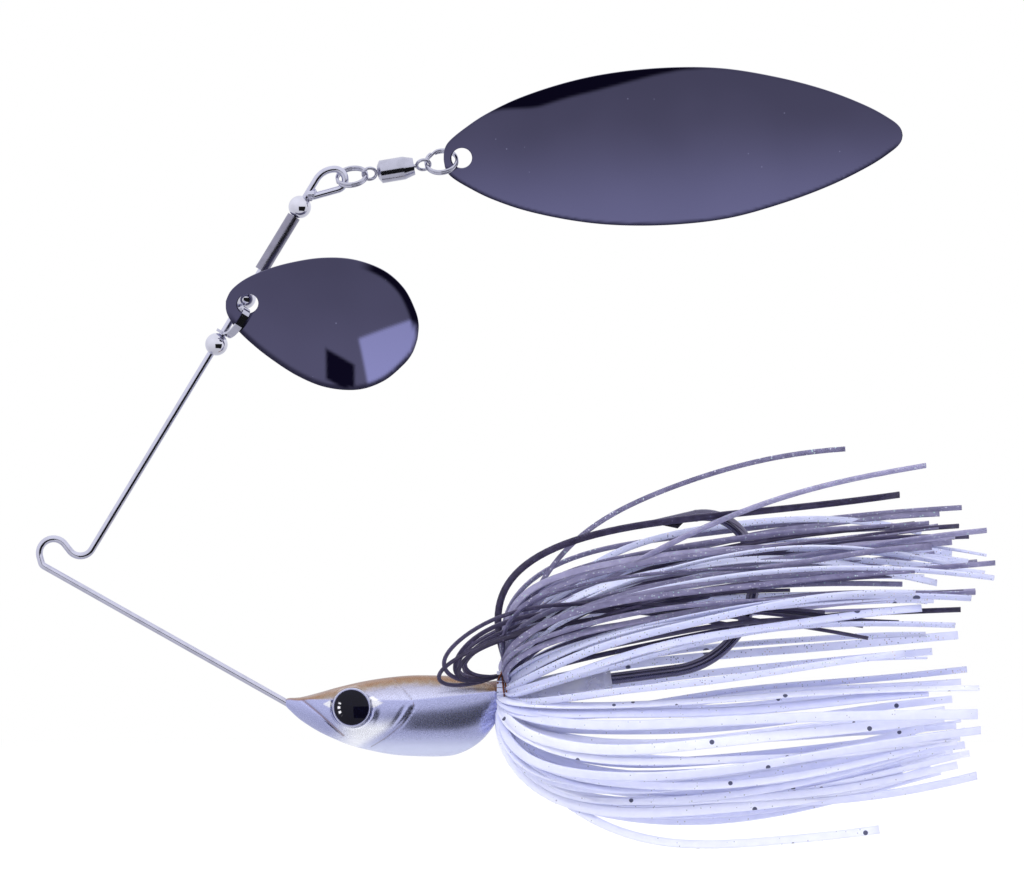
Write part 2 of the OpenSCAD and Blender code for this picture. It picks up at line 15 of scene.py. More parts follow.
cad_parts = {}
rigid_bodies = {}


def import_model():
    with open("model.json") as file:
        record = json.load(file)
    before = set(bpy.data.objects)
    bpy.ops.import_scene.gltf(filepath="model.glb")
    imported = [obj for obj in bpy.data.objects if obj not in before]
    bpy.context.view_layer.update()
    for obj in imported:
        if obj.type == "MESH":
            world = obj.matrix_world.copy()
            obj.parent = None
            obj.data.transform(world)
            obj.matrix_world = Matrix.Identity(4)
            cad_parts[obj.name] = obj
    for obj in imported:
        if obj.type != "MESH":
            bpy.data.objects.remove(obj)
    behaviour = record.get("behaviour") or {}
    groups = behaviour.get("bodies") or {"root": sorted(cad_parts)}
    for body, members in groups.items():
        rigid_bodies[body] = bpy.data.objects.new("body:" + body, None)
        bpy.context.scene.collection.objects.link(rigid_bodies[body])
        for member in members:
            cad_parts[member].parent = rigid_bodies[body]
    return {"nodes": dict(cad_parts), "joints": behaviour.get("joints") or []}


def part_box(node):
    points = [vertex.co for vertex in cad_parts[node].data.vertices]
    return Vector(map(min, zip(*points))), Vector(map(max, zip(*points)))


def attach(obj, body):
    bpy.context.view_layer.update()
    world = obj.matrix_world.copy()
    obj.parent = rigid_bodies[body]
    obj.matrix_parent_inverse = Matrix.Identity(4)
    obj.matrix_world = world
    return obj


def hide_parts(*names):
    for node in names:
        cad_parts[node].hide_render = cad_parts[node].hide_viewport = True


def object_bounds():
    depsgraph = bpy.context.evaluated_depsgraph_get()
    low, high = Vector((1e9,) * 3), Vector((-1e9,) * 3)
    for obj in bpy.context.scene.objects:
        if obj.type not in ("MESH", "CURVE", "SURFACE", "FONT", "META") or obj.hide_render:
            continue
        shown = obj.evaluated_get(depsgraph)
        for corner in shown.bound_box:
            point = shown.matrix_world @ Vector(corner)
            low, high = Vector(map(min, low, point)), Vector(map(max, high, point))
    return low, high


for leftover in list(bpy.data.objects):
    bpy.data.objects.remove(leftover)
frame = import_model()
CAD_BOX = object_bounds()
NODES = frame["nodes"]
JOINTS = {j["name"]: j for j in frame["joints"]}
MM = 0.001


# ---------------------------------------------------------------- small geometry helpers
def joint_at(name):
    """Where a joint turns, in millimetres."""
    return np.array(JOINTS[name].get("origin_m") or JOINTS[name]["pos_m"], float) / MM


def box_middle(node):
    lo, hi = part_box(node)
    return np.array((lo + hi) / 2) / MM


def unit(v):
    v = np.asarray(v, float)
    return v / max(np.linalg.norm(v), 1e-9)


def smoothstep(x, a, b):
    t = np.clip((np.asarray(x, float) - a) / (b - a), 0, 1)
    return t * t * (3 - 2 * t)


def turned(v, axis, degrees):
    """v turned about an axis through the origin."""
    axis, a = unit(axis), math.radians(degrees)
    v = np.asarray(v, float)
    return (v * math.cos(a) + np.cross(axis, v) * math.sin(a)
            + axis * (v @ axis)[..., None] * (1 - math.cos(a)))


def catmull(points, steps):
    """A smooth curve through the points, with `steps` samples to each stretch."""
    p = np.asarray(points, float)
    out = []
    for i in range(len(p) - 1):
        a, b, c, d = p[max(i - 1, 0)], p[i], p[i + 1], p[min(i + 2, len(p) - 1)]
        for t in np.arange(steps) / steps:
            out.append(0.5 * (2 * b + (c - a) * t + (2 * a - 5 * b + 4 * c - d) * t ** 2
                              + (3 * b - a - 3 * c + d) * t ** 3))
    return np.array(out + [p[-1]])


def add_mesh(name, points, faces, material, body, replaces=(), normals=None):
    """A smooth-shaded piece from points in millimetres, riding on a body."""
    mesh = bpy.data.meshes.new(name)
    mesh.from_pydata((np.asarray(points, float) * MM).tolist(), [], faces)
    mesh.validate()
    mesh.shade_smooth()
    mesh.materials.append(material)
    if normals is not None:
        mesh.normals_split_custom_set_from_vertices(np.asarray(normals, float).tolist())
    piece = bpy.data.objects.new(name, mesh)
    bpy.context.scene.collection.objects.link(piece)
    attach(piece, body)
    if replaces:
        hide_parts(*replaces)
    return piece


def add_field(piece, name, values):
    """A number at each point of a piece, for its material to read."""
    field = piece.data.attributes.new(name, "FLOAT", "POINT")
    field.data.foreach_set("value", np.asarray(values, np.float32))


def join_parts(parts):
    """Points and faces of several parts as one list each."""
    points, faces, base = [], [], 0
    for p, f in parts:
        points.append(np.asarray(p, float))
        faces += [tuple(int(k) + base for k in face) for face in f]
        base += len(p)
    return np.vstack(points), faces


def grid_faces(rows, sides, closed=True, caps=True):
    """Faces of a grid of rows of points; closed joins each row's end to its start."""
    faces = []
    span = sides if closed else sides - 1
    for i in range(rows - 1):
        for k in range(span):
            a, b = i * sides + k, i * sides + (k + 1) % sides
            faces.append((a, b, b + sides, a + sides))
    if caps and closed:
        faces.append(tuple(range(sides - 1, -1, -1)))
        faces.append(tuple(range((rows - 1) * sides, rows * sides)))
    return faces


def sweep(path, radii, sides=20, round_ends=0.0):
    """A round tube along a path, its frame carried along without twist."""
    path = np.asarray(path, float)
    radii = np.broadcast_to(np.asarray(radii, float), (len(path),)).copy()
    along = np.gradient(path, axis=0)
    along /= np.linalg.norm(along, axis=1)[:, None]
    side = np.cross(along[0], [0.0, 1.0, 0.0])
    if np.linalg.norm(side) < 0.1:
        side = np.cross(along[0], [0.0, 0.0, 1.0])
    side = unit(side)
    if round_ends:
        path, radii, along = rounded_ends(path, radii, along, round_ends)
    ring = 2 * np.pi * np.arange(sides) / sides
    points = []
    for p, r, d in zip(path, radii, along):
        side = unit(side - d * (side @ d))
        up = np.cross(d, side)
        points.append(p + r * (np.cos(ring)[:, None] * side + np.sin(ring)[:, None] * up))
    return np.vstack(points), grid_faces(len(path), sides)


def rounded_ends(path, radii, along, share):
    """Adds three shrinking rings beyond each end of a tube, so that its cut edge is eased."""
    start, end = [], []
    for s in (0.35, 0.75, 1.0):
        shrink = 1 - share * s ** 2
        out = share * radii[0] * math.sin(s * math.pi / 2)
        start.insert(0, (path[0] - along[0] * out, radii[0] * shrink, along[0]))
        out = share * radii[-1] * math.sin(s * math.pi / 2)
        end.append((path[-1] + along[-1] * out, radii[-1] * shrink, along[-1]))
    rings = start + list(zip(path, radii, along)) + end
    return (np.array([r[0] for r in rings]), np.array([r[1] for r in rings]),
            np.array([r[2] for r in rings]))


def walk(start, steps, spacing=0.12):
    """Points of a path in the XZ plane: a step is (length,) or (radius, signed turn in degrees)."""
    x, z, heading = start
    points = [(x, 0.0, z)]
    for step in steps:
        if len(step) == 1:
            n = max(2, int(step[0] / spacing / 4))
            a = math.radians(heading)
            for k in range(1, n + 1):
                points.append((x + step[0] * k / n * math.cos(a), 0.0, z + step[0] * k / n * math.sin(a)))
        else:
            radius, turn = step
            side = 1 if turn > 0 else -1
            a = math.radians(heading)
            cx, cz = x - side * radius * math.sin(a), z + side * radius * math.cos(a)
            n = max(4, int(abs(math.radians(turn)) * radius / spacing))
            for k in range(1, n + 1):
                b = a + math.radians(turn) * k / n
                points.append((cx + side * radius * math.sin(b), 0.0, cz - side * radius * math.cos(b)))
            heading += turn
        x, _, z = points[-1]
    return np.array(points)


def wobble(i, k):
    """A repeatable number from 0 to 1 for item i and use k, the same rule as the CAD skirt's."""
    v = math.sin(math.radians(i * 78.233 + k * 37.719 + 12.9)) * 43.7585
    return v - math.floor(v)


def spread(i, k):
    return 2 * wobble(i, k) - 1


# ---------------------------------------------------------------- material helpers
class Graph:
    """A node tree that is filled by one call for each node."""

    def __init__(self, name):
        self.material = bpy.data.materials.new(name)
        self.material.use_nodes = True
        self.tree = self.material.node_tree
        self.bsdf = self.tree.nodes["Principled BSDF"]
        self.out = self.tree.nodes["Material Output"]

    def put(self, socket, value):
        if isinstance(value, bpy.types.NodeSocket):
            self.tree.links.new(value, socket)
        else:
            socket.default_value = value

    def node(self, kind, inputs=None, output=0, **settings):
        n = self.tree.nodes.new("ShaderNode" + kind)
        for key, value in settings.items():
            setattr(n, key, value)
        for key, value in (inputs or {}).items():
            self.put(n.inputs[key], value)
        return n.outputs[output]

    def place(self):
        return self.node("TexCoord", output="Object")

    def field(self, name):
        return self.node("Attribute", attribute_name=name, output="Fac")

    def math(self, operation, a, b=0.0, c=0.0, clamp=False):
        return self.node("Math", {0: a, 1: b, 2: c}, operation=operation, use_clamp=clamp)

    def noise(self, scale, detail=3.0, rough=0.5, vector=None):
        return self.node("TexNoise", {"Vector": vector or self.place(), "Scale": scale, "Detail": detail,
                                      "Roughness": rough}, output="Fac")

    def ramp(self, value, stops):
        n = self.tree.nodes.new("ShaderNodeValToRGB")
        self.put(n.inputs[0], value)
        bar = n.color_ramp.elements
        while len(bar) < len(stops):
            bar.new(0.5)
        for element, (at, colour) in zip(bar, stops):
            element.position = at
            element.color = (*colour, 1.0)
        return n.outputs[0]

    def span(self, value, low, high, a=0.0, b=1.0, kind="SMOOTHSTEP"):
        return self.node("MapRange", {"Value": value, "From Min": low, "From Max": high, "To Min": a,
                                      "To Max": b}, interpolation_type=kind)

    def mix(self, factor, a, b, blend="MIX"):
        n = self.tree.nodes.new("ShaderNodeMix")
        n.data_type = "RGBA"
        n.blend_type = blend
        self.put(n.inputs[0], factor)
        self.put(n.inputs[6], a if isinstance(a, bpy.types.NodeSocket) else (*a, 1.0))
        self.put(n.inputs[7], b if isinstance(b, bpy.types.NodeSocket) else (*b, 1.0))
        return n.outputs[2]

    def bump(self, height, strength, distance):
        normal = self.node("Bump", {"Height": height, "Strength": strength, "Distance": distance})
        self.put(self.bsdf.inputs["Normal"], normal)

    def set(self, **values):
        """Sets shader sockets; an underscore in a name stands for a space."""
        for key, value in values.items():
            socket = self.bsdf.inputs[key.replace("_", " ")]
            if isinstance(value, tuple) and len(value) == 3 and len(socket.default_value) == 4:
                value = (*value, 1.0)
            self.put(socket, value)
        return self.material


def linear(r, g, b):
    """An sRGB colour from 0 to 255 as the linear numbers that shaders take."""
    return tuple(c / 255 / 12.92 if c <= 10 else ((c / 255 + 0.055) / 1.055) ** 2.4 for c in (r, g, b))


# ---------------------------------------------------------------- materials
def metal(name, colour, rough, grain=9000.0, worn=0.05, dents=0.0002, stretch=(1, 1, 1)):
    """Polished or brushed metal: fine grain in its roughness, faint stains and drawing marks."""
    g = Graph(name)
    place = g.node("Mapping", {"Vector": g.place(), "Scale": stretch})
    fine = g.noise(grain, 2.0, 0.6, place)
    broad = g.noise(grain / 12, 3.0, 0.5, place)
    dull = tuple(c * 0.82 for c in colour)
    g.set(Base_Color=g.mix(g.span(broad, 0.42, 0.72, 0.0, 0.6), colour, dull),
          Metallic=1.0,
          Roughness=g.math("ADD", g.span(fine, 0.3, 0.7, rough, rough + worn),
                           g.span(broad, 0.45, 0.8, 0.0, worn * 0.6)))
    g.bump(g.math("ADD", fine, g.math("MULTIPLY", broad, 1.5)), 0.25, dents * MM * 10)
    return g.material


def black_nickel(name, body, rough):
    """Smoked mirror plating with a few pinpricks and a slow change of tint, plus painted reflections: a bright lilac
    panel and a near-black dark room, read from two fields.
    """
    g = Graph(name)
    tint = g.noise(60.0, 2.0, 0.5)
    speck = g.node("TexVoronoi", {"Vector": g.place(), "Scale": 420.0}, output="Distance")
    pin = g.span(speck, 0.03, 0.05, 1.0, 0.0)
    cloudy = g.mix(g.span(tint, 0.3, 0.7), body, tuple(c * 0.86 for c in body))
    plate = g.mix(g.math("MULTIPLY", pin, 0.55), cloudy, linear(150, 150, 180))
    # painted reflections: lilac where a bright panel is painted, near-black where the dark room is painted
    plate = g.mix(g.field("painted_bright_reflection"), plate, linear(146, 146, 196))
    plate = g.mix(g.field("painted_dark_reflection"), plate, linear(14, 11, 30))
    g.set(Base_Color=plate, Metallic=1.0,
          Roughness=g.span(g.noise(1500.0, 2.0), 0.35, 0.75, rough, rough + 0.03))
    g.bump(g.noise(120.0, 2.0), 0.04, 0.2 * MM)
    return g.material


def copper():
    """Thin soft copper wire, a little tarnished."""
    g = Graph("copper_tie")
    stain = g.noise(2500.0, 4.0, 0.6)
    g.set(Base_Color=g.ramp(stain, [(0.3, linear(150, 96, 76)), (0.62, linear(112, 70, 58)),
                                    (0.8, linear(92, 52, 44))]),
          Metallic=1.0, Roughness=g.span(stain, 0.3, 0.8, 0.22, 0.5))
    g.bump(stain, 0.3, 0.02 * MM)
    return g.material


def keeper_plastic():
    """Milky see-through sleeve with flow marks and a trace of dust."""
    g = Graph("keeper_plastic")
    cloud = g.noise(420.0, 4.0, 0.55)
    g.set(Base_Color=g.ramp(cloud, [(0.3, linear(206, 208, 240)), (0.7, linear(236, 238, 255))]),
          Roughness=g.span(cloud, 0.3, 0.7, 0.22, 0.38), Transmission_Weight=0.45, IOR=1.42,
          Subsurface_Weight=0.3, Subsurface_Radius=(1.2 * MM, 1.2 * MM, 1.4 * MM), Subsurface_Scale=1.0)
    g.bump(g.noise(1500.0, 3.0), 0.2, 0.05 * MM)
    return g.material


def silicone(name, light, dark, flakes, flake_share, specks=0.0, clear=1.0, rough=0.34):
    """Skirt rubber: each strand has its own tone, with glitter flakes and sparse round black specks."""
    g = Graph(name)
    tone = g.field("tone")
    cloud = g.noise(700.0, 3.0, 0.5)
    shade = g.math("ADD", tone, g.span(cloud, 0.3, 0.7, -0.12, 0.12), clamp=True)
    colour = g.mix(shade, dark, light)
    cells = g.tree.nodes.new("ShaderNodeTexVoronoi")
    g.put(cells.inputs["Vector"], g.place())
    g.put(cells.inputs["Scale"], 3300.0)
    pick = g.node("SeparateColor", {0: cells.outputs["Color"]})
    hue = g.node("SeparateColor", {0: cells.outputs["Color"]}, output=1)
    near = g.span(cells.outputs["Distance"], 0.26, 0.4, 1.0, 0.0)
    chosen = g.math("GREATER_THAN", pick, 1 - flake_share)
    flake = g.math("MULTIPLY", near, chosen)
    glint = g.ramp(hue, [(0.0, flakes[0]), (0.5, flakes[1]), (1.0, flakes[2])])
    colour = g.mix(flake, colour, glint)
    if specks:
        grains = g.node("TexVoronoi", {"Vector": g.place(), "Scale": specks}, output="Distance")
        dot = g.span(grains, 0.085, 0.105, 1.0, 0.0)
        colour = g.mix(g.math("MULTIPLY", dot, 0.92), colour, linear(34, 38, 70))
    g.set(Base_Color=colour, Roughness=g.math("SUBTRACT", rough, g.math("MULTIPLY", flake, 0.15)),
          Metallic=g.math("MULTIPLY", flake, 0.5), IOR=1.41, Alpha=clear,
          Subsurface_Weight=0.25, Subsurface_Radius=(1.0 * MM, 1.0 * MM, 1.2 * MM), Subsurface_Scale=1.0)
    g.bump(g.noise(5200.0, 2.0, 0.6), 0.25, 0.03 * MM)
    return g.material


def head_paint():
    """Amber back over pearl, satin silver flank with visible flake, pale belly, a painted highlight on the lower gill
    cover and painted white highlights beside the eye.
    """
    g = Graph("head_paint")
    below_top, above_ridge = g.field("below_top"), g.field("above_ridge")
    belly, gill, mouth = g.field("belly"), g.field("gill"), g.field("mouth")
    cheek, patch = g.field("cheek"), g.field("patch")
    mist = g.noise(900.0, 3.0, 0.6)
    grain = g.node("TexVoronoi", {"Vector": g.place(), "Scale": 9000.0}, output="Color")
    sparkle = g.node("SeparateColor", {0: grain})
    edge = g.math("ADD", below_top, g.span(mist, 0.2, 0.8, -0.18, 0.18))
    back = g.ramp(g.span(edge, 0.0, 3.4, 0.0, 1.0, "LINEAR"),
                  [(0.0, linear(118, 68, 8)), (0.11, linear(134, 86, 26)), (0.24, linear(150, 130, 112)),
                   (0.42, linear(180, 180, 204)), (1.0, linear(196, 200, 230))])
    silver = g.mix(g.math("MULTIPLY", sparkle, 0.2), linear(188, 192, 234), linear(146, 148, 198))
    pale = g.mix(belly, silver, linear(214, 220, 246))
    # painted highlight: near-white over the lower gill cover, where the paint is also made less metallic
    side = g.mix(cheek, pale, linear(244, 246, 252))
    upper = g.span(above_ridge, -0.12, 0.12)
    colour = g.mix(upper, side, back)
    # painted highlight: white diamonds beside the eye
    colour = g.mix(patch, colour, linear(250, 250, 255))
    colour = g.mix(g.math("MULTIPLY", g.span(gill, 0.0, 0.13, 1.0, 0.0), 0.75), colour, linear(112, 96, 96))
    colour = g.mix(g.math("MULTIPLY", g.span(mouth, 0.0, 0.22, 1.0, 0.0), 0.7), colour, linear(122, 84, 66))
    shine = g.math("SUBTRACT", 0.92, g.math("MULTIPLY", belly, 0.5))
    shine = g.math("SUBTRACT", shine, g.math("MULTIPLY", cheek, 0.35))
    metallic = g.node("Mix", {0: upper, 2: shine, 3: 0.35})
    g.set(Base_Color=colour, Metallic=metallic,
          Roughness=g.math("ADD", g.span(sparkle, 0.0, 1.0, 0.22, 0.31, "LINEAR"), g.math("MULTIPLY", belly, 0.12)),
          Coat_Weight=0.55, Coat_Roughness=0.06)
    g.bump(g.math("ADD", mist, g.math("MULTIPLY", sparkle, 0.3)), 0.06, 0.03 * MM)
    return g.material


def eye_foil():
    """Silver foil behind the eye, with fine rings."""
    g = Graph("eye_foil")
    away = g.field("from_middle")
    rings = g.node("TexNoise", {"Vector": g.place(), "Scale": 5200.0}, output="Fac")
    g.set(Base_Color=g.ramp(g.span(away, 2.15, 2.6, 0.0, 1.0, "LINEAR"),
                            [(0.0, linear(40, 40, 60)), (0.3, linear(176, 178, 206)), (0.75, linear(220, 222, 240)),
                             (1.0, linear(120, 120, 146))]),
          Metallic=1.0, Roughness=g.span(rings, 0.3, 0.7, 0.14, 0.26))
    g.bump(rings, 0.2, 0.02 * MM)
    return g.material


def eye_resin():
    """Clear resin dome over a black pupil, seen as deep black with a fine silver edge and a painted white highlight.
    """
    g = Graph("eye_resin")
    away = g.field("from_middle")
    mist = g.noise(2200.0, 2.0)
    colour = g.ramp(g.span(away, 1.6, 2.5, 0.0, 1.0, "LINEAR"),
                    [(0.0, linear(8, 7, 20)), (0.62, linear(9, 8, 22)), (0.72, linear(26, 26, 48)),
                     (0.8, linear(150, 152, 186)), (1.0, linear(206, 208, 232))])
    colour = g.mix(g.span(mist, 0.55, 0.8, 0.0, 0.3), colour, linear(16, 20, 48))
    # painted highlight: white dots where the glint field is set
    g.set(Base_Color=g.mix(g.field("glint"), colour, linear(250, 250, 255)),
          Roughness=0.03, IOR=1.5, Coat_Weight=0.3, Coat_Roughness=0.02, Specular_IOR_Level=0.05)
    return g.material


M = {
    "wire_steel": metal("drawn_wire", (0.66, 0.66, 0.78), 0.10, stretch=(1, 1, 1)),
    "bead_steel": metal("bead_chrome", (0.78, 0.78, 0.86), 0.03, worn=0.03, dents=0.00008),
    "bright_steel": metal("bright_steel", (0.56, 0.56, 0.66), 0.09, worn=0.06),
    "tube_steel": metal("tube_steel", (0.33, 0.32, 0.40), 0.20, worn=0.1, dents=0.0004),
    "front_nickel": black_nickel("front_blade_plating", (0.098, 0.093, 0.165), 0.035),
    "rear_nickel": black_nickel("rear_blade_plating", (0.098, 0.093, 0.165), 0.05),
    "hook_nickel": metal("hook_plating", (0.16, 0.15, 0.22), 0.12, worn=0.08),
    "head_paint": head_paint(),
    "eye_foil": eye_foil(),
    "eye_resin": eye_resin(),
    "keeper": keeper_plastic(),
    "copper": copper(),
    "white": silicone("silicone_white", linear(228, 231, 255), linear(204, 208, 244),
                      [linear(240, 244, 255), linear(225, 235, 255), linear(235, 230, 255)], 0.05, specks=300.0),
    "pearl": silicone("silicone_pearl", linear(214, 218, 248), linear(186, 190, 226),
                      [linear(240, 255, 255), linear(160, 172, 215), linear(255, 240, 255)], 0.34, specks=190.0),
    "smoke": silicone("silicone_smoke", linear(166, 163, 198), linear(92, 88, 120),
                      [linear(196, 236, 238), linear(226, 224, 246), linear(206, 204, 232)], 0.26, clear=0.86),
    "dark": silicone("silicone_dark", linear(84, 78, 108), linear(38, 33, 54),
                     [linear(120, 128, 160), linear(90, 90, 120), linear(140, 130, 168)], 0.05, rough=0.28),
}


# ---------------------------------------------------------------- stage
VIEW_X, VIEW_Z = 58.68, 15.04  # what the camera looks at, in the lure's own plane
VIEW_WIDTH = 131.07
LENS = 200.0
FLOOR_DROP = 9.0  # the floor's depth below the lowest strand


def make_camera():
    data = bpy.data.cameras.new("camera")
    data.lens, data.sensor_width = LENS, 36.0
    data.clip_start, data.clip_end = 0.01, 20.0
    camera = bpy.data.objects.new("camera", data)
    distance = VIEW_WIDTH * LENS / 36.0
    camera.location = Vector((VIEW_X, -distance, VIEW_Z)) * MM
    camera.rotation_euler = (math.radians(90), 0, 0)
    bpy.context.scene.collection.objects.link(camera)
    bpy.context.scene.camera = camera


def window(g, azimuth, elevation, az, el, soft=1.5):
    """1 inside a patch of the sky between two azimuths and two elevations, in degrees."""
    parts = []
    for value, (low, high) in ((azimuth, az), (elevation, el)):
        parts.append(g.span(value, low - soft, low + soft))
        parts.append(g.span(value, high - soft, high + soft, 1.0, 0.0))
    out = parts[0]
    for p in parts[1:]:
        out = g.math("MULTIPLY", out, p)
    return out


class SkyGraph(Graph):
    """The world's node tree, with the same calls as a material's."""

    def __init__(self, world):
        world.use_nodes = True
        self.tree = world.node_tree
        self.background = self.tree.nodes["Background"]


def make_world():
    """A white tent with a dark opening for the camera, which polished metal reflects."""
    world = bpy.data.worlds.new("tent")
    bpy.context.scene.world = world
    g = SkyGraph(world)
    way = g.node("SeparateXYZ", {0: g.node("TexCoord", output="Generated")})
    x = way
    y = way.node.outputs[1]
    z = way.node.outputs[2]
    azimuth = g.math("DEGREES", g.math("ARCTAN2", x, g.math("MULTIPLY", y, -1.0)))
    elevation = g.math("DEGREES", g.math("ARCSINE", z))
    level = g.span(elevation, -80.0, 60.0, 0.66, 1.04)
    dark = window(g, azimuth, elevation, (-9, 62), (-42, 2))
    level = g.math("MULTIPLY", level, g.math("SUBTRACT", 1.0, g.math("MULTIPLY", dark, 0.985)))
    ray = g.tree.nodes.new("ShaderNodeLightPath")
    glossy = ray.outputs["Is Glossy Ray"]
    strength = g.node("Mix", {0: glossy, 2: 0.62, 3: level})
    strength = g.node("Mix", {0: ray.outputs["Is Camera Ray"], 2: strength, 3: 1.0})
    tint = g.mix(ray.outputs["Is Camera Ray"], (0.93, 0.935, 1.0), (1.0, 1.0, 1.0))
    g.put(g.background.inputs["Color"], tint)
    g.put(g.background.inputs["Strength"], strength)


def make_lights():
    target = Vector((VIEW_X, 0, VIEW_Z)) * MM
    for name, place, size, power in (("key", (-0.35, -0.55, 0.62), 0.5, 4.6), ("fill", (0.5, -0.5, 0.15), 0.6, 2.0),
                                     ("back", (0.1, 0.6, 0.5), 0.6, 3.2)):
        data = bpy.data.lights.new(name, "AREA")
        data.shape, data.size, data.energy = "SQUARE", size, power
        data.color = (1.0, 0.99, 0.985)
        lamp = bpy.data.objects.new(name, data)
        lamp.location = target + Vector(place)
        lamp.rotation_euler = (target - lamp.location).to_track_quat("-Z", "Y").to_euler()
        lamp.visible_glossy = False
        bpy.context.scene.collection.objects.link(lamp)


def make_floor():
    """A pale floor that keeps the lure's shadow near it and runs out into the white tent."""
    g = Graph("pale_floor")
    place = g.node("SeparateXYZ", {0: g.place()})
    radius = g.node("VectorMath", {0: g.place()}, operation="LENGTH", output="Value")
    far = g.span(radius, 0.16, 0.42)
    camera_ray = g.tree.nodes.new("ShaderNodeLightPath").outputs["Is Camera Ray"]
    g.set(Base_Color=g.mix(g.span(g.noise(30.0), 0.3, 0.7), (0.90, 0.90, 0.91), (0.93, 0.93, 0.94)), Roughness=0.7)
    white = g.tree.nodes.new("ShaderNodeEmission")
    white.inputs["Color"].default_value = (1, 1, 1, 1)
    blend = g.tree.nodes.new("ShaderNodeMixShader")
    g.put(blend.inputs[0], g.math("MULTIPLY", far, camera_ray))
    g.tree.links.new(g.bsdf.outputs[0], blend.inputs[1])
    g.tree.links.new(white.outputs[0], blend.inputs[2])
    g.tree.links.new(blend.outputs[0], g.out.inputs["Surface"])
    half = 3.0
    mesh = bpy.data.meshes.new("floor")
    mesh.from_pydata([(-half, -half, 0), (half, -half, 0), (half, half, 0), (-half, half, 0)], [], [(0, 1, 2, 3)])
    mesh.materials.append(g.material)
    floor = bpy.data.objects.new("floor", mesh)
    floor.location = (VIEW_X * MM, 0, CAD_BOX[0].z - FLOOR_DROP * MM)
    floor.visible_glossy = False
    bpy.context.scene.collection.objects.link(floor)


# ---------------------------------------------------------------- wire form
WIRE_D = 0.9
LOWER_ARM, LOWER_SLOPE = 39.8, 29.4
UPPER_ARM, UPPER_SLOPE = 55.4, 58.75
TIE_R, TIE_HEADING, TIE_EXIT = 1.82, 105.0, 51.9
TIE_BEND_R, TIE_STRAIGHT, TIE_LINK, DIP_R = 0.7, 0.8, 1.063, 1.72
LOOP_SHOULDER_R, LOOP_R, LOOP_CLOSE, LOOP_LEG = 2.74, 1.34, 164.5, 3.2
WELD_BACK = 2.0


def wire_start():
    """The end of the wire inside the head, found by walking back from the line tie."""
    a = math.radians(TIE_HEADING + 90)
    back = walk((TIE_R * math.cos(a), TIE_R * math.sin(a), TIE_HEADING + 180),
                [(TIE_STRAIGHT,), (TIE_BEND_R, 180 - LOWER_SLOPE - TIE_HEADING), (LOWER_ARM,)])
    return back[-1][0], back[-1][2], 180 - LOWER_SLOPE


def make_wire_form():
    steps = [(LOWER_ARM,), (TIE_BEND_R, -(180 - LOWER_SLOPE - TIE_HEADING)), (TIE_STRAIGHT,),
             (TIE_R, -(TIE_HEADING + TIE_EXIT)), (TIE_LINK,), (DIP_R, TIE_EXIT + UPPER_SLOPE), (UPPER_ARM,),
             (LOOP_SHOULDER_R, -UPPER_SLOPE), (LOOP_R, -LOOP_CLOSE), (LOOP_LEG,)]
    path = walk(wire_start(), steps)
    body = sweep(path, WIRE_D / 2, 28, round_ends=0.25)
    arm_end = walk(wire_start(), steps[:7])[-1]
    up = np.array([math.cos(math.radians(UPPER_SLOPE)), 0, math.sin(math.radians(UPPER_SLOPE))])
    out = np.array([up[2], 0, -up[0]])
    parts = [body, weld(arm_end - up * WELD_BACK + out * 0.32, up, out)]
    points, faces = join_parts(parts)
    add_mesh("wire_form_finish", points, faces, M["wire_steel"], "lure", ["wire_form"])


def weld(middle, up, out):
    """A lumpy bead of weld where the loop's end meets the arm."""
    rows, sides = 28, 36
    across = np.cross(up, out)
    points = []
    for i in range(rows):
        a = math.pi * (i + 0.5) / rows
        for k in range(sides):
            b = 2 * math.pi * k / sides
            lump = 1 + 0.10 * math.sin(3 * a + 2 * b) + 0.07 * math.sin(5 * b - 4 * a) + 0.05 * math.sin(9 * a + 5 * b)
            r = 0.70 * lump
            points.append(middle + r * (1.18 * math.cos(a) * up + 1.1 * math.sin(a) * math.cos(b) * out
                                        + 0.86 * math.sin(a) * math.sin(b) * across))
    return np.array(points), grid_faces(rows, sides)


# ---------------------------------------------------------------- split rings and swivel chain
CHAIN_SLOPE = 9.5
RING_WIRE = 0.4
RINGS = {"front_ring": (1.92, 54.0, 205.0), "rear_ring": (2.0, 44.0, 118.0)}  # radius, lean, where it opens


def make_split_ring(name):
    """Two coils of round wire that step from one side to the other by the ring's cut ends."""
    radius, lean, opens = RINGS[name]
    middle = box_middle(name)
    along = np.array([math.cos(math.radians(CHAIN_SLOPE)), 0, math.sin(math.radians(CHAIN_SLOPE))])
    level = np.array([-along[2], 0, along[0]])
    flat = turned(np.array([0.0, 1.0, 0.0]), along, -lean)
    rise = turned(level, along, -lean)
    turn = np.radians(np.arange(9.0, 712.0, 3.0))
    crossing = smoothstep(np.degrees(turn), 338.0, 376.0) * 2 - 1
    step = RING_WIRE * 0.46 * crossing
    swell = radius + 0.02 * smoothstep(np.degrees(turn), 690.0, 712.0)
    a = turn + math.radians(opens)
    path = (middle + (swell * np.cos(a))[:, None] * along + (swell * np.sin(a))[:, None] * rise
            + step[:, None] * flat)
    points, faces = sweep(path, RING_WIRE / 2, 16, round_ends=0.2)
    add_mesh(name + "_coil", points, faces, M["bright_steel"], name, [name])


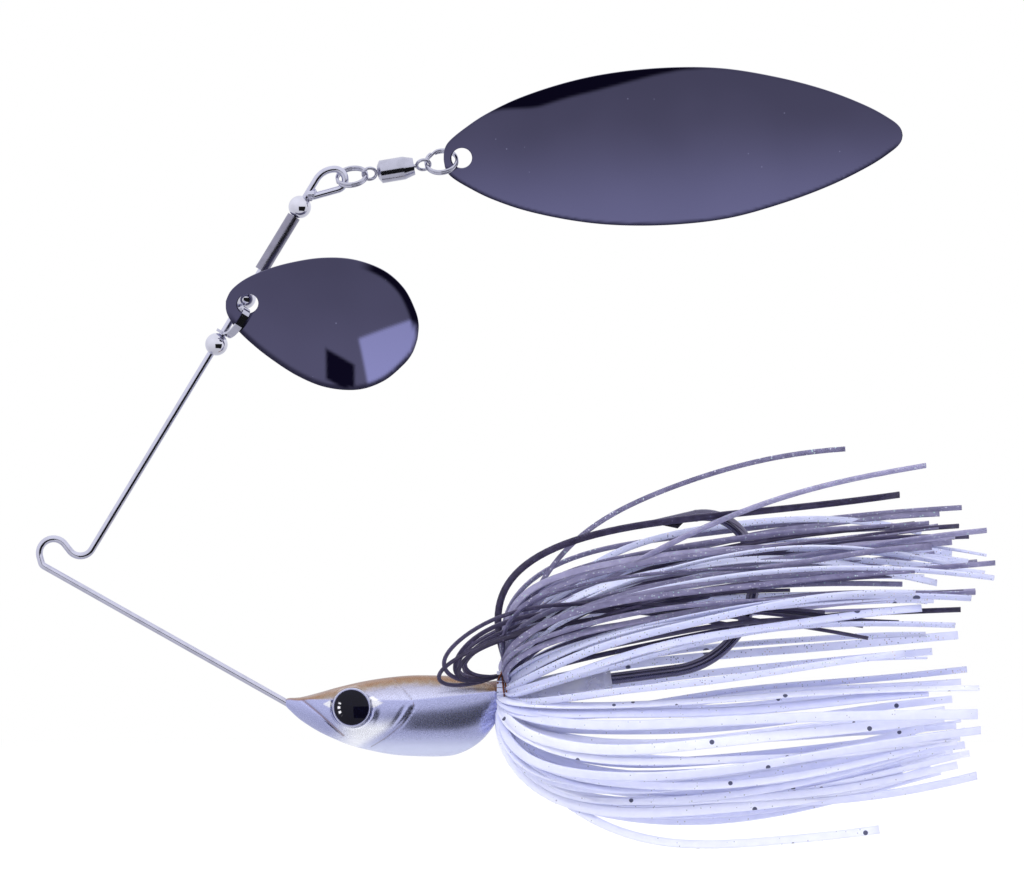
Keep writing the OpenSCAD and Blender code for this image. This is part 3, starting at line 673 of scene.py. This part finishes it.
# ---------------------------------------------------------------- blades
FRONT_HALF = [[-2.75, 0], [-2.5, 1.15], [-1.9, 2.15], [-0.8, 3.3], [1, 4.6], [4, 6.25], [8, 7.82], [12, 8.5],
              [16, 7.95], [19, 6.2], [21, 3.7], [21.85, 1.9], [22.1, 0]]
REAR_HALF = [[-2.3, 0], [-2.1, 1.3], [-1.4, 2.35], [0.5, 3.75], [3.5, 5.5], [8, 7.35], [14, 8.95], [20, 9.85],
             [27, 10.12], [34, 9.62], [41, 8.05], [47, 6.1], [52, 3.85], [55, 2.0], [56.1, 0.95], [56.4, 0]]
HOLE_R = 1.3
BLADES = {
    "front_blade": dict(half=FRONT_HALF, hole=(24.99, -1.78, 31.96), turn=-12.5, roll=12.0, yaw=0.0, mid=13.0, curve=34.0, cross=17.0,
                        thick=0.5, drop=13.0 ** 2 / 68.0, paint="front_nickel", sheen=(0.5, 0.0, -19.0)),
    "rear_blade": dict(half=REAR_HALF, hole=(52.27, 0.5, 50.64), turn=2.9, roll=11.0, yaw=-4.0, mid=27.0, curve=130.0, cross=22.0,
                       thick=0.6, drop=130.0 - math.sqrt(130.0 ** 2 - 27.0 ** 2), paint="rear_nickel",
                       sheen=(0.3, 0.0, -15.0)),
}


def even_loop(points, spacing):
    """The closed loop's points again, spread evenly along it."""
    p = np.vstack([points, points[:1]])
    length = np.concatenate([[0], np.cumsum(np.linalg.norm(np.diff(p, axis=0), axis=1))])
    n = int(length[-1] / spacing)
    at = np.arange(n) / n * length[-1]
    return np.stack([np.interp(at, length, p[:, k]) for k in range(2)], axis=1)


def loop_normals(loop):
    along = np.roll(loop, -1, axis=0) - np.roll(loop, 1, axis=0)
    along /= np.linalg.norm(along, axis=1)[:, None]
    return np.stack([along[:, 1], -along[:, 0]], axis=1)


def loop_distance(points, loop):
    """Distance of each point from the loop's nearest point."""
    best = np.full(len(points), 1e9)
    for i in range(0, len(loop), 64):
        d = np.linalg.norm(points[:, None] - loop[None, i:i + 64], axis=2).min(axis=1)
        best = np.minimum(best, d)
    return best


def inside(points, loop):
    x, z = points[:, 0][:, None], points[:, 1][:, None]
    a, b = loop, np.roll(loop, -1, axis=0)
    crosses = (a[:, 1] > z) != (b[:, 1] > z)
    height = np.where(b[:, 1] == a[:, 1], 1e-9, b[:, 1] - a[:, 1])
    hit = crosses & (x < (b[:, 0] - a[:, 0]) * (z - a[:, 1]) / height + a[:, 0])
    return hit.sum(axis=1) % 2 == 1


def dish(p, s, w, depth):
    """Height of the dished sheet over (s, w), `depth` below its outer skin."""
    ring = p["curve"] - p["cross"] + np.sqrt((p["cross"] - depth) ** 2 - w ** 2)
    return p["drop"] - p["curve"] + np.sqrt(ring ** 2 - (s - p["mid"]) ** 2)


def dish_normal(p, s, w, depth):
    """The sheet's outward direction, from differences of its height."""
    e = 0.01
    ds = (dish(p, s + e, w, depth) - dish(p, s - e, w, depth)) / (2 * e)
    dw = (dish(p, s, w + e, depth) - dish(p, s, w - e, depth)) / (2 * e)
    n = np.stack([-ds, np.ones_like(ds), -dw], axis=1)
    return n / np.linalg.norm(n, axis=1)[:, None]


def blade_sheet(outer, hole, spacing):
    """Points and triangles that fill the outline and leave the hole open."""
    low, high = outer.min(axis=0), outer.max(axis=0)
    grid = np.stack(np.meshgrid(np.arange(low[0], high[0], spacing), np.arange(low[1], high[1], spacing)), axis=2)
    grid = grid.reshape(-1, 2)
    keep = inside(grid, outer) & (loop_distance(grid, outer) > spacing * 0.6)
    keep &= (np.linalg.norm(grid, axis=1) > HOLE_R + spacing)
    grid = grid[keep]
    flat = np.vstack([outer, hole, grid])
    n, m = len(outer), len(hole)
    edges = [(i, (i + 1) % n) for i in range(n)] + [(n + i, n + (i + 1) % m) for i in range(m)]
    points, _, faces, *_ = delaunay_2d_cdt([Vector(q) for q in flat.tolist()], edges, [], 1, 1e-7)
    points = np.array([tuple(q) for q in points])
    faces = [tuple(f) for f in faces]
    middles = np.array([points[list(f)].mean(axis=0) for f in faces])
    good = inside(middles, outer) & ~inside(middles, hole)
    return points, [f for f, ok in zip(faces, good) if ok]


def blade_rim(p, loop, side, thick, ease):
    """An eased edge between the two skins along a loop; side is -1 for the hole."""
    out = loop_normals(loop) * side
    rows, normals = [], []
    for depth, inset, tilt in ((0.0, 1.0, 0.0), (0.08, 0.3, 0.45), (0.25, 0.0, 0.9), (0.5, 0.0, 1.0), (0.75, 0.0, 0.9),
                               (0.92, 0.3, 0.45), (1.0, 1.0, 0.0)):
        q = loop - out * ease * inset
        y = dish(p, q[:, 0], q[:, 1], depth * thick)
        skin = dish_normal(p, q[:, 0], q[:, 1], depth * thick) * (1 if depth < 0.5 else -1)
        edge = np.stack([out[:, 0], np.zeros(len(out)), out[:, 1]], axis=1)
        n = skin * (1 - tilt) + edge * tilt
        rows.append(np.stack([q[:, 0], y, q[:, 1]], axis=1))
        normals.append(n / np.linalg.norm(n, axis=1)[:, None])
    faces = [f if side > 0 else f[::-1] for f in grid_faces(len(rows), len(loop), caps=False)]
    return np.vstack(rows), faces, np.vstack(normals)


def facing(points, normals, face):
    """Above 0 where a face's winding agrees with the directions given for its corners."""
    a, b, c = (points[k] for k in face[:3])
    return np.cross(b - a, c - a) @ normals[list(face)].sum(axis=0)


def beside_line(s, w, a, b):
    """Signed distance of points from the line from a to b, above 0 on its right-hand side."""
    length = math.hypot(b[0] - a[0], b[1] - a[1])
    return ((s - a[0]) * (b[1] - a[1]) - (w - a[1]) * (b[0] - a[0])) / length


def blade_painted_reflections(name, p, s, w, outer):
    """Painted reflections on a blade's mirror: where a bright panel is painted and where the dark room is painted."""
    edge = loop_distance(np.stack([s, w], axis=1), outer)
    m = p["mid"]
    if name == "front_blade":
        # front blade: a painted bright reflection polygon, a painted dark reflection patch, and painted dark
        # reflection along the upper right rim and the lower edge
        corner = (m + 1.7, -1.8)
        painted_bright_reflection = (smoothstep(beside_line(s, w, corner, (m + 8.4, 2.7)), -0.3, 0.3)
                 * smoothstep(-beside_line(s, w, corner, (m + 4.3, -7.35)), -0.3, 0.3)
                 * smoothstep(edge, 0.25, 0.5))
        patch = np.maximum(np.abs(s - m - 0.2 + 0.25 * (w + 5.8)) - 1.9, np.abs(w + 6.2 + 0.3 * (s - m)) - 1.7)
        painted_dark_reflection = smoothstep(-patch, -0.25, 0.3) * smoothstep(edge, 0.2, 0.5)
        rim = smoothstep(-edge, -1.25, -0.7) * smoothstep(w, 0.5, 2.5) * smoothstep(s, m - 0.5, m + 2.0)
        low = 0.75 * smoothstep(-edge, -0.8, -0.3) * smoothstep(-w, 1.0, 3.0)
        return painted_bright_reflection, np.maximum.reduce([painted_dark_reflection, rim, low])
    # rear blade: painted dark reflection along the upper edge near the hole end and along the lower edge, and a
    # painted bright reflection that grows toward the lower side
    band = 2.1 * smoothstep(s, 3.0, 11.0) * smoothstep(-s, -34.0, -16.0)
    top = smoothstep(band - edge, -0.25, 0.35) * smoothstep(w, 0.5, 2.0)
    low = 0.8 * smoothstep(-edge, -0.55, -0.2) * smoothstep(-w, 0.5, 2.0)
    return 0.28 * smoothstep(-w, -4.0, 9.0), np.maximum(top, low)


def make_blade(name):
    """A dished, stamped blade: two mirror skins with exact directions and an eased rim; the directions on the concave
    side are then calmed and turned, and that side carries painted bright and dark reflections.
    """
    p = BLADES[name]
    half = catmull(p["half"], 12)
    outline = np.vstack([half, half[-2:0:-1] * [1, -1]])
    outer = even_loop(outline[::-1], 0.3)
    hole = HOLE_R * np.stack([np.cos(np.arange(72) * math.pi / 36), np.sin(np.arange(72) * math.pi / 36)], axis=1)
    ease = p["thick"] * 0.24
    flat, tris = blade_sheet(outer - loop_normals(outer) * ease, hole * (1 + ease / HOLE_R), 0.27)
    s, w = flat[:, 0], flat[:, 1]
    parts, normals = [], []
    for depth, flip in ((0.0, 1), (p["thick"], -1)):
        parts.append((np.stack([s, dish(p, s, w, depth), w], axis=1), tris if flip > 0 else [f[::-1] for f in tris]))
        normals.append(dish_normal(p, s, w, depth) * flip)
    for loop, side in ((outer, 1), (hole, -1)):
        points, faces, around = blade_rim(p, loop, side, p["thick"], ease)
        parts.append((points, faces))
        normals.append(around)
    points, faces = join_parts(parts)
    normals = np.vstack(normals)
    faces = [f if facing(points, normals, f) > 0 else f[::-1] for f in faces]
    mirrored = normals[:, 1] < -0.5
    calm, lift, swing = p["sheen"]
    middle = unit(normals[mirrored].mean(axis=0))
    steady = normals[mirrored] * (1 - calm) + middle * calm
    normals[mirrored] = steady / np.linalg.norm(steady, axis=1)[:, None]
    normals[mirrored] = turned(turned(normals[mirrored], (1, 0, 0), -lift), (0, 0, 1), swing)
    # painted bright and dark reflections, kept to the concave mirror side
    painted_bright_reflection, painted_dark_reflection = blade_painted_reflections(name, p, points[:, 0], points[:, 2], outer)
    place = np.array(p["hole"])
    for axis, angle in (((1, 0, 0), p["roll"]), ((0, 1, 0), -p["turn"]), ((0, 0, 1), p["yaw"])):
        points, normals = turned(points, axis, angle), turned(normals, axis, angle)
    points = points + place
    blade = add_mesh(name + "_mirror", points, faces, M[p["paint"]], name, [name], normals)
    add_field(blade, "painted_bright_reflection", painted_bright_reflection * mirrored)
    add_field(blade, "painted_dark_reflection", painted_dark_reflection * mirrored)


# ---------------------------------------------------------------- head
NOSE_X, HEAD_W = 29.75, 8.5
HEAD_ROWS = [[0, -18.7, -19.62, 0.13], [0.45, -18.55, -20.1, 0.2], [1.9, -18.45, -21.4, 0.34],
             [4.1, -17.9, -22.8, 0.54], [6.2, -17.3, -23.8, 0.69], [8.2, -16.8, -24.6, 0.8],
             [10.3, -16.35, -25.15, 0.89], [13.3, -15.9, -25.75, 0.965], [16.4, -15.65, -26.0, 1.0],
             [20.5, -15.7, -26.0, 0.97], [22.6, -15.95, -25.5, 0.9], [24.4, -16.25, -24.5, 0.8],
             [25.7, -16.5, -23.3, 0.7], [26.8, -16.75, -21.8, 0.6], [27.7, -16.95, -20.3, 0.52],
             [28.3, -17.1, -19.1, 0.42]]
RIDGE_Z = -18.64
GILL = [(43.6, -16.1), (46.0, -18.7), (45.75, -19.97), (44.5, -21.8), (42.7, -23.4), (40.7, -24.7)]
MOUTH = [(31.9, -18.7), (34.4, -20.7), (37.2, -23.3)]
EYE_AT, EYE_SEAT, EYE_LEAN = (38.3, -19.6), 3.3, 9.0
EYE_D, EYE_T, DOME_H = 5.06, 0.3, 0.8
SHANK_RISE = 7.4
SHANK_EYE = (37.6, -20.504)
NECK_X = 57.9


def axis_z(x):
    """Height of the hook shank's axis."""
    return SHANK_EYE[1] + (x - SHANK_EYE[0]) * math.tan(math.radians(SHANK_RISE))


NECK = np.array([NECK_X, 0.0, axis_z(NECK_X)])
SHANK_WAY = np.array([math.cos(math.radians(SHANK_RISE)), 0.0, math.sin(math.radians(SHANK_RISE))])


def line_distance(x, z, line):
    """Distance of points from a drawn line, and how far each lies ahead of it (towards the nose)."""
    curve = catmull(line, 10)
    best, ahead = np.full(len(x), 1e9), np.zeros(len(x))
    for (ax, az), (bx, bz) in zip(curve[:-1], curve[1:]):
        length = math.hypot(bx - ax, bz - az)
        t = np.clip(((x - ax) * (bx - ax) + (z - az) * (bz - az)) / length ** 2, 0, 1)
        d = np.hypot(x - ax - t * (bx - ax), z - az - t * (bz - az))
        side = ((bx - ax) * (z - az) - (bz - az) * (x - ax)) / length
        closer = d < best
        best, ahead = np.where(closer, d, best), np.where(closer, -side, ahead)
    return best, ahead


def make_head():
    """The cast head: a ridge along each side, a raised cheek, gill and mouth lines, and eye seats."""
    rows = catmull(HEAD_ROWS, 12)
    sides = 240
    a = 2 * np.pi * np.arange(sides) / sides
    q, upper, near = np.abs(np.sin(a)), np.sin(a) >= 0, np.sign(np.cos(a))
    points, below_top, above_ridge = [], [], []
    for along, top, bottom, share in rows:
        x = NOSE_X + along
        ridge = RIDGE_Z + max(0.0, x - 46.0) * 0.104
        ridge = min(max(ridge, bottom + 0.4 * (top - bottom)), top - 0.12 * (top - bottom))
        z = np.where(upper, ridge + (top - ridge) * q, ridge - (ridge - bottom) * q)
        wide = 0.93 * share * HEAD_W / 2
        over = wide * (1 - 0.25 * q) * np.clip(1 - q ** 2.2, 0, 1) ** 0.6
        under = wide * (1 + 0.08 * np.sin(np.pi * q)) * np.clip(1 - q ** 2.6, 0, 1) ** 0.6
        y = np.where(upper, over, under) * near
        points.append(np.stack([np.full(sides, x), y, z], axis=1))
        below_top.append(top - z)
        above_ridge.append(z - ridge)
    points = np.vstack(points)
    x, y, z = points.T
    side = np.where(np.abs(np.tile(np.cos(a), len(rows))) > 1e-6, np.sign(y), 0.0)
    gill, ahead = line_distance(x, z, GILL)
    second, _ = line_distance(x, z, [(gx - 1.0, gz) for gx, gz in GILL])
    mouth, _ = line_distance(x, z, MOUTH)
    plate = smoothstep(ahead, -0.12, 0.1) * smoothstep(np.abs(y), 0.6, 1.8)
    rise = 0.22 * plate - 0.10 * smoothstep(-second, -0.28, 0.0) - 0.16 * smoothstep(-gill, -0.25, 0.0)
    rise -= 0.22 * smoothstep(-mouth, -0.35, 0.0)
    y = y + side * rise * smoothstep(np.abs(y), 0.2, 1.0)
    lean = math.tan(math.radians(EYE_LEAN))
    seat = EYE_SEAT + (x - EYE_AT[0]) * lean
    away = np.hypot(x - EYE_AT[0], z - EYE_AT[1])
    rim = 0.30 * np.exp(-((away - 2.85) / 0.3) ** 2)
    pocket = smoothstep(-away, -2.72, -2.55)
    big = np.abs(y) > 1.2
    y = np.where(big, side * ((np.abs(y) + rim) * (1 - pocket) + (seat - 0.02) * pocket), y)
    points = np.stack([x, y, z], axis=1)
    faces = grid_faces(len(rows), sides)
    faces = [f[::-1] for f in faces]
    collar = sweep([NECK + SHANK_WAY * t for t in (-2.6, -1.0, 0.4, 0.8)], [1.7, 1.7, 1.7, 1.55], 40)
    count = len(points)
    points, faces = join_parts([(points, faces), collar])
    head = add_mesh("head_body", points, faces, M["head_paint"], "lure", ["head_casting"])
    extra = np.zeros(len(points) - count)
    # painted highlights: two white diamonds, one behind and one ahead of the eye
    painted_highlight_diamond = 1 - (np.abs(x - 40.9) / 1.5 + np.abs(z + 18.9 + 0.1 * (x - 40.9)) / 0.85)
    painted_highlight_diamond = np.maximum(painted_highlight_diamond, 1 - (np.abs(x - 35.4) / 0.9 + np.abs(z + 19.2) / 0.5))
    fields = {"below_top": np.concatenate(below_top), "above_ridge": np.concatenate(above_ridge),
              "belly": smoothstep(-z, 22.6, 25.2), "gill": np.minimum(gill, second + 0.08), "mouth": mouth,
              # cheek: where the painted highlight lies, on the lower gill cover
              "cheek": smoothstep(ahead, 0.2, 1.4) * smoothstep(-z, 20.5, 22.5) * smoothstep(x, 35.0, 39.0),
              "patch": smoothstep(painted_highlight_diamond, 0.0, 0.18)}
    for name, values in fields.items():
        add_field(head, name, np.concatenate([values, extra]))


def lathe(profile, sides=96):
    """Points (height along +Z) and faces of a profile of (radius, height) turned round Z."""
    a = 2 * np.pi * np.arange(sides) / sides
    points = [np.stack([r * np.cos(a), r * np.sin(a), np.full(sides, h)], axis=1) for r, h in profile]
    return np.vstack(points), grid_faces(len(profile), sides)


def in_eye_frame(points, side):
    """Points drawn with +Z out of the eye, set on the head's side (1 is +Y, -1 is -Y)."""
    x, y, z = points.T
    c, s = math.cos(math.radians(EYE_LEAN)), math.sin(math.radians(EYE_LEAN))
    out = np.stack([EYE_AT[0] + x * c - z * s, side * (EYE_SEAT + x * s + z * c), EYE_AT[1] - y], axis=1)
    return out


def make_eyes():
    disc_r, dome_r = EYE_D / 2, EYE_D / 2 - 0.14
    disc = [(disc_r, 0.0), (disc_r, EYE_T - 0.06), (disc_r - 0.03, EYE_T - 0.02), (disc_r - 0.07, EYE_T)]
    disc += [(dome_r - 0.3 * k, EYE_T) for k in range(8)] + [(0.02, EYE_T)]
    ball = (dome_r ** 2 + DOME_H ** 2) / (2 * DOME_H)
    top = math.degrees(math.asin(dome_r / ball))
    dome = [(dome_r, EYE_T)]
    for k in range(28):
        a = math.radians(top * (1 - k / 27.7))
        dome.append((ball * math.sin(a), EYE_T + DOME_H - ball + ball * math.cos(a)))
    for side, word in ((1, "right"), (-1, "left")):
        for part, profile, paint, slot in (("disc", disc, "eye_foil", "eye_foil"),
                                           ("dome", dome, "eye_resin", "eye_gloss")):
            points, faces = lathe(profile)
            if side > 0:
                faces = [f[::-1] for f in faces]
            node = "eye_" + part + "_" + word
            eye = add_mesh(node + "_round", in_eye_frame(points, side), faces, M[paint], "lure", [node])
            away = np.hypot(points[:, 0], points[:, 1])
            add_field(eye, "from_middle", away)
            # painted highlight: a row of small white dots on the left side of each eye, about 1.55 mm from its middle
            turn = np.degrees(np.arctan2(points[:, 1], -points[:, 0]))
            dots = smoothstep(np.cos(np.radians(turn * 16)), -0.2, 0.4) * smoothstep(-np.abs(turn - 8), -34, -28)
            add_field(eye, "glint", 0.9 * dots * smoothstep(-np.abs(away - 1.55), -0.24, -0.1))


# ---------------------------------------------------------------- tie wire
TIE_D, BUNDLE_R = 0.24, 2.75


def around_shank(t, r, degrees):
    """A point at distance t past the neck and radius r round the shank's axis."""
    up = np.array([-SHANK_WAY[2], 0.0, SHANK_WAY[0]])
    a = math.radians(degrees)
    return NECK + SHANK_WAY * t + r * (math.sin(a) * up - math.cos(a) * np.array([0.0, 1.0, 0.0]))


def make_tie_wire():
    """Four turns that cross each other a little, then a loose end that stands off the bundle."""
    turns = [around_shank(-0.42 + 0.27 * k / 60 + 0.07 * spread(k // 14, 71), BUNDLE_R + 0.05 * spread(k // 9, 72),
                          6.0 * k + 60) for k in range(0, 246, 6)]
    end = turns[-1]
    turns += [end + np.array([-0.5, -0.5, 0.5]), end + np.array([-1.2, -0.8, -0.5]),
              end + np.array([-1.5, -0.9, -1.9]), end + np.array([-2.2, -0.8, -3.2])]
    points, faces = sweep(catmull(turns, 8), TIE_D / 2, 14, round_ends=0.3)
    add_mesh("tie_wire_turns", points, faces, M["copper"], "lure", ["tie_wire"])


# ---------------------------------------------------------------- skirt
LAYER_T, LAYER_R0 = 0.24, 1.73
HOOK_BERTH = 3.3
STRAND_T = 0.3
SEGMENTS = 44


def around(a):
    return np.array([0.0, -math.cos(math.radians(a)), math.sin(math.radians(a))])


def root(a, layer, way=1, ahead=0.75):
    return NECK + around(a) * (LAYER_R0 + LAYER_T * (layer + 0.5)) + np.array([way * ahead, 0, 0])


def side_of(a, i):
    c = math.cos(math.radians(a))
    if abs(c) < 0.35:
        return -1 if i % 2 == 0 else 1
    return -1 if c > 0 else 1


def route(a, layer, bulge, back, sag, end, ahead):
    """Control points of one strand, by the same rule as the CAD skirt's."""
    d, start = around(a), root(a, layer, 1, ahead)
    g = -1 if end[1] < 0 else 1
    return [start, start + np.array([back, d[1] * bulge * 0.7 + g * 2.2, d[2] * bulge]),
            np.array([NECK[0] + (end[0] - NECK[0]) * 0.42, g * max(abs(end[1]) + 1.5, HOOK_BERTH + 2),
                      end[2] + d[2] * sag]), np.array(end)]


def strand(control, roll, seed, width, way=1, tail=1.7):
    """A flat silicone strip along a curve, twisting slowly, squeezed flat where it is tied."""
    p = [np.asarray(c, float) for c in control]
    p[1] = p[1] + np.array([spread(seed, 11) * 1.4, 0, spread(seed, 12) * 1.6])
    p[2] = p[2] + np.array([spread(seed, 13) * 4.0, 0, spread(seed, 14) * 2.2])
    t = (np.arange(SEGMENTS + 1) / SEGMENTS) ** 1.2
    u = 1 - t
    path = (p[0] * (u ** 3)[:, None] + p[1] * (3 * u * u * t)[:, None] + p[2] * (3 * u * t * t)[:, None]
            + p[3] * (t ** 3)[:, None])
    ripple = 0.35 * t * np.sin(2 * np.pi * (t * (1.2 + wobble(seed, 3)) + wobble(seed, 4)))
    path[:, 2] += ripple
    path[:, 1] += 0.4 * ripple * (1 if p[3][1] > 0 else -1)
    path = np.vstack([path[0] - np.array([way * tail, 0, 0]), path[0] - np.array([way * tail / 2, 0, 0]), path])
    t = np.concatenate([[0, 0], t])
    along = np.gradient(path, axis=0)
    along /= np.linalg.norm(along, axis=1)[:, None]
    wide = width * (0.78 + 0.44 * wobble(seed, 1)) / 2
    section = [(-0.98, -0.55), (-0.7, -1), (0.7, -1), (0.98, -0.55), (0.98, 0.55), (0.7, 1), (-0.7, 1), (-0.98, 0.55)]
    points = []
    for k, (c, d, s) in enumerate(zip(path, along, t)):
        flat = unit(np.cross(d, (0.01, 1, 0.02)))
        face = unit(np.cross(flat, d))
        b = math.radians(roll * (1 - 0.5 * s) + 55 * spread(seed, 2) * s)
        across, thick = flat * math.cos(b) + face * math.sin(b), face * math.cos(b) - flat * math.sin(b)
        grow = 0.55 + 0.45 * min(1.0, max(0.0, (k - 2) / 4))
        for e, f in section:
            points.append(c + across * (wide * e * grow) + thick * (STRAND_T / 2 * f * grow))
    return np.array(points), grid_faces(len(path), len(section))


GROUPS = {
    "skirt_white": dict(count=26, start=-165, stop=-15, layer=0, bulge=17, back=1, sag=8, x=(108, 118), wide=9,
                        z=(-29, -15), seed=5, width=1.15, ahead=-0.9, fill=10, paint="white", slot="silicone_white"),
    "skirt_pearl": dict(count=20, start=-30, stop=210, layer=3, bulge=13, back=3, sag=5, x=(108, 120), wide=9,
                        z=(-17, 3), seed=11, width=0.95, ahead=0.1, fill=4, paint="pearl", slot="silicone_pearl"),
    "skirt_smoke": dict(count=24, start=22, stop=158, layer=2, bulge=17, back=-6, sag=-2.5, x=(108, 120), wide=9,
                        z=(-9, 6), seed=23, width=0.8, ahead=0.75, fill=0, paint="smoke", slot="silicone_smoke"),
    "skirt_dark": dict(count=12, start=18, stop=162, layer=1, bulge=13, back=1, sag=-2, x=(104, 118), wide=8,
                       z=(-12, 5), seed=41, width=0.8, ahead=0.75, fill=0, paint="dark", slot="silicone_dark"),
}


def single_strands(name):
    """Strands that the photograph shows apart from the rest."""
    if name == "skirt_white":
        return [([root(-80, 0), NECK + [2, -4, -19], NECK + [22, -5, -21], [105.5, -3, -35]], 30)]
    if name == "skirt_smoke":
        return [([root(84, 2), NECK + [2, -4, 22], NECK + [18, -5, 29], [101.2, -2, 13.1]], 20),
                ([root(76, 2), NECK + [9, -6, 15.5], NECK + [26, -5, 23.5], [111.4, -4, 11.4]], -20)]
    return [([root(97, 1), NECK + [-8, -4, 21], NECK + [14, -6, 21.5], [108.1, -3, 7.8]], 15)]


def group_strands(g, count, seed):
    sines = [math.sin(math.radians(a)) for a in (g["start"], g["stop"], (g["start"] + g["stop"]) / 2)]
    low, high = min(sines), max(sines)
    for i in range(count):
        a = g["start"] + (g["stop"] - g["start"]) * (i + 0.5) / count + spread(i, seed) * 3
        c, s = math.cos(math.radians(a)), math.sin(math.radians(a))
        share = min(1, max(0, (s - low) / (high - low))) * 0.7 + 0.3 * wobble(i, seed + 5)
        end = [g["x"][0] + (g["x"][1] - g["x"][0]) * wobble(i, seed + 3),
               side_of(a, i) * max(HOOK_BERTH, abs(c) * g["wide"] + 2.2 * spread(i, seed + 4)),
               g["z"][0] + (g["z"][1] - g["z"][0]) * share]
        yield (route(a, g["layer"], g["bulge"] * (0.62 + 0.5 * wobble(i, seed + 1)),
                     g["back"] + 1.5 * spread(i, seed + 2), g["sag"], end, g["ahead"]), 70 * spread(i, seed + 6))


def add_strands(name, parts, paint):
    points, faces = join_parts(parts)
    piece = add_mesh(name + "_strands", points, faces, M[paint], "lure", [name])
    tones = [np.full(len(p), wobble(i, 90 + len(name))) for i, (p, _) in enumerate(parts)]
    add_field(piece, "tone", np.concatenate(tones))


def make_skirt():
    for name, g in GROUPS.items():
        ways = list(group_strands(g, g["count"], g["seed"])) + list(group_strands(g, g["fill"], g["seed"] + 100))
        if name != "skirt_pearl":
            ways += single_strands(name)
        parts = [strand(control, roll, 13 * i + g["seed"], g["width"], tail=1.2 + 0.6 * g["ahead"]) for i, (control, roll) in enumerate(ways)]
        add_strands(name, parts, g["paint"])
    loops = []
    for i in range(7):
        y = (-3.8, -3.0, -3.4, 3.2, 3.9, -4.2, -2.8)[i]
        lift = (0, 2.6, -2.2, 0.8, 2.2, 1.4, 3.4)[i]
        control = [root(52 if y < 0 else 128, 4, -1), NECK + [-14 + lift * 0.5, y * 1.9, -1.6 + lift * 0.5],
                   NECK + [-7 + lift, y * 1.6, 15 + lift], [84 + 5 * min(i, 4), y * 1.6, -7 - lift]]
        loops.append(strand(control, 25 * spread(i, 51), 300 + i, 0.5, -1))
    add_strands("skirt_loops", loops, "dark")


# ---------------------------------------------------------------- the CAD pieces that are shown as they are
SHOWN = {"lower_bead": ("bead_steel", "bead_steel"), "bearing_bead": ("bead_steel", "bead_steel"),
         "upper_bead": ("bead_steel", "bead_steel"), "clevis": ("bright_steel", "bright_steel"),
         "spacer_tube": ("tube_steel", "tube_steel"), "swivel_front_eye": ("bright_steel", "bright_steel"),
         "swivel_barrel": ("bright_steel", "bright_steel"), "swivel_rear_eye": ("bright_steel", "bright_steel"),
         "hook": ("hook_nickel", "hook_nickel"), "trailer_keeper": ("keeper", "keeper_clear")}


def dress_shown():
    for node, (paint, slot) in SHOWN.items():
        piece = bpy.data.objects[node]
        piece.data.materials.clear()
        piece.data.materials.append(M[paint])


make_camera()
make_world()
make_lights()
make_floor()
make_wire_form()
make_split_ring("front_ring")
make_split_ring("rear_ring")
make_blade("front_blade")
make_blade("rear_blade")
make_head()
make_eyes()
make_tie_wire()
make_skirt()
dress_shown()
bpy.context.scene.view_settings.view_transform = "Standard"
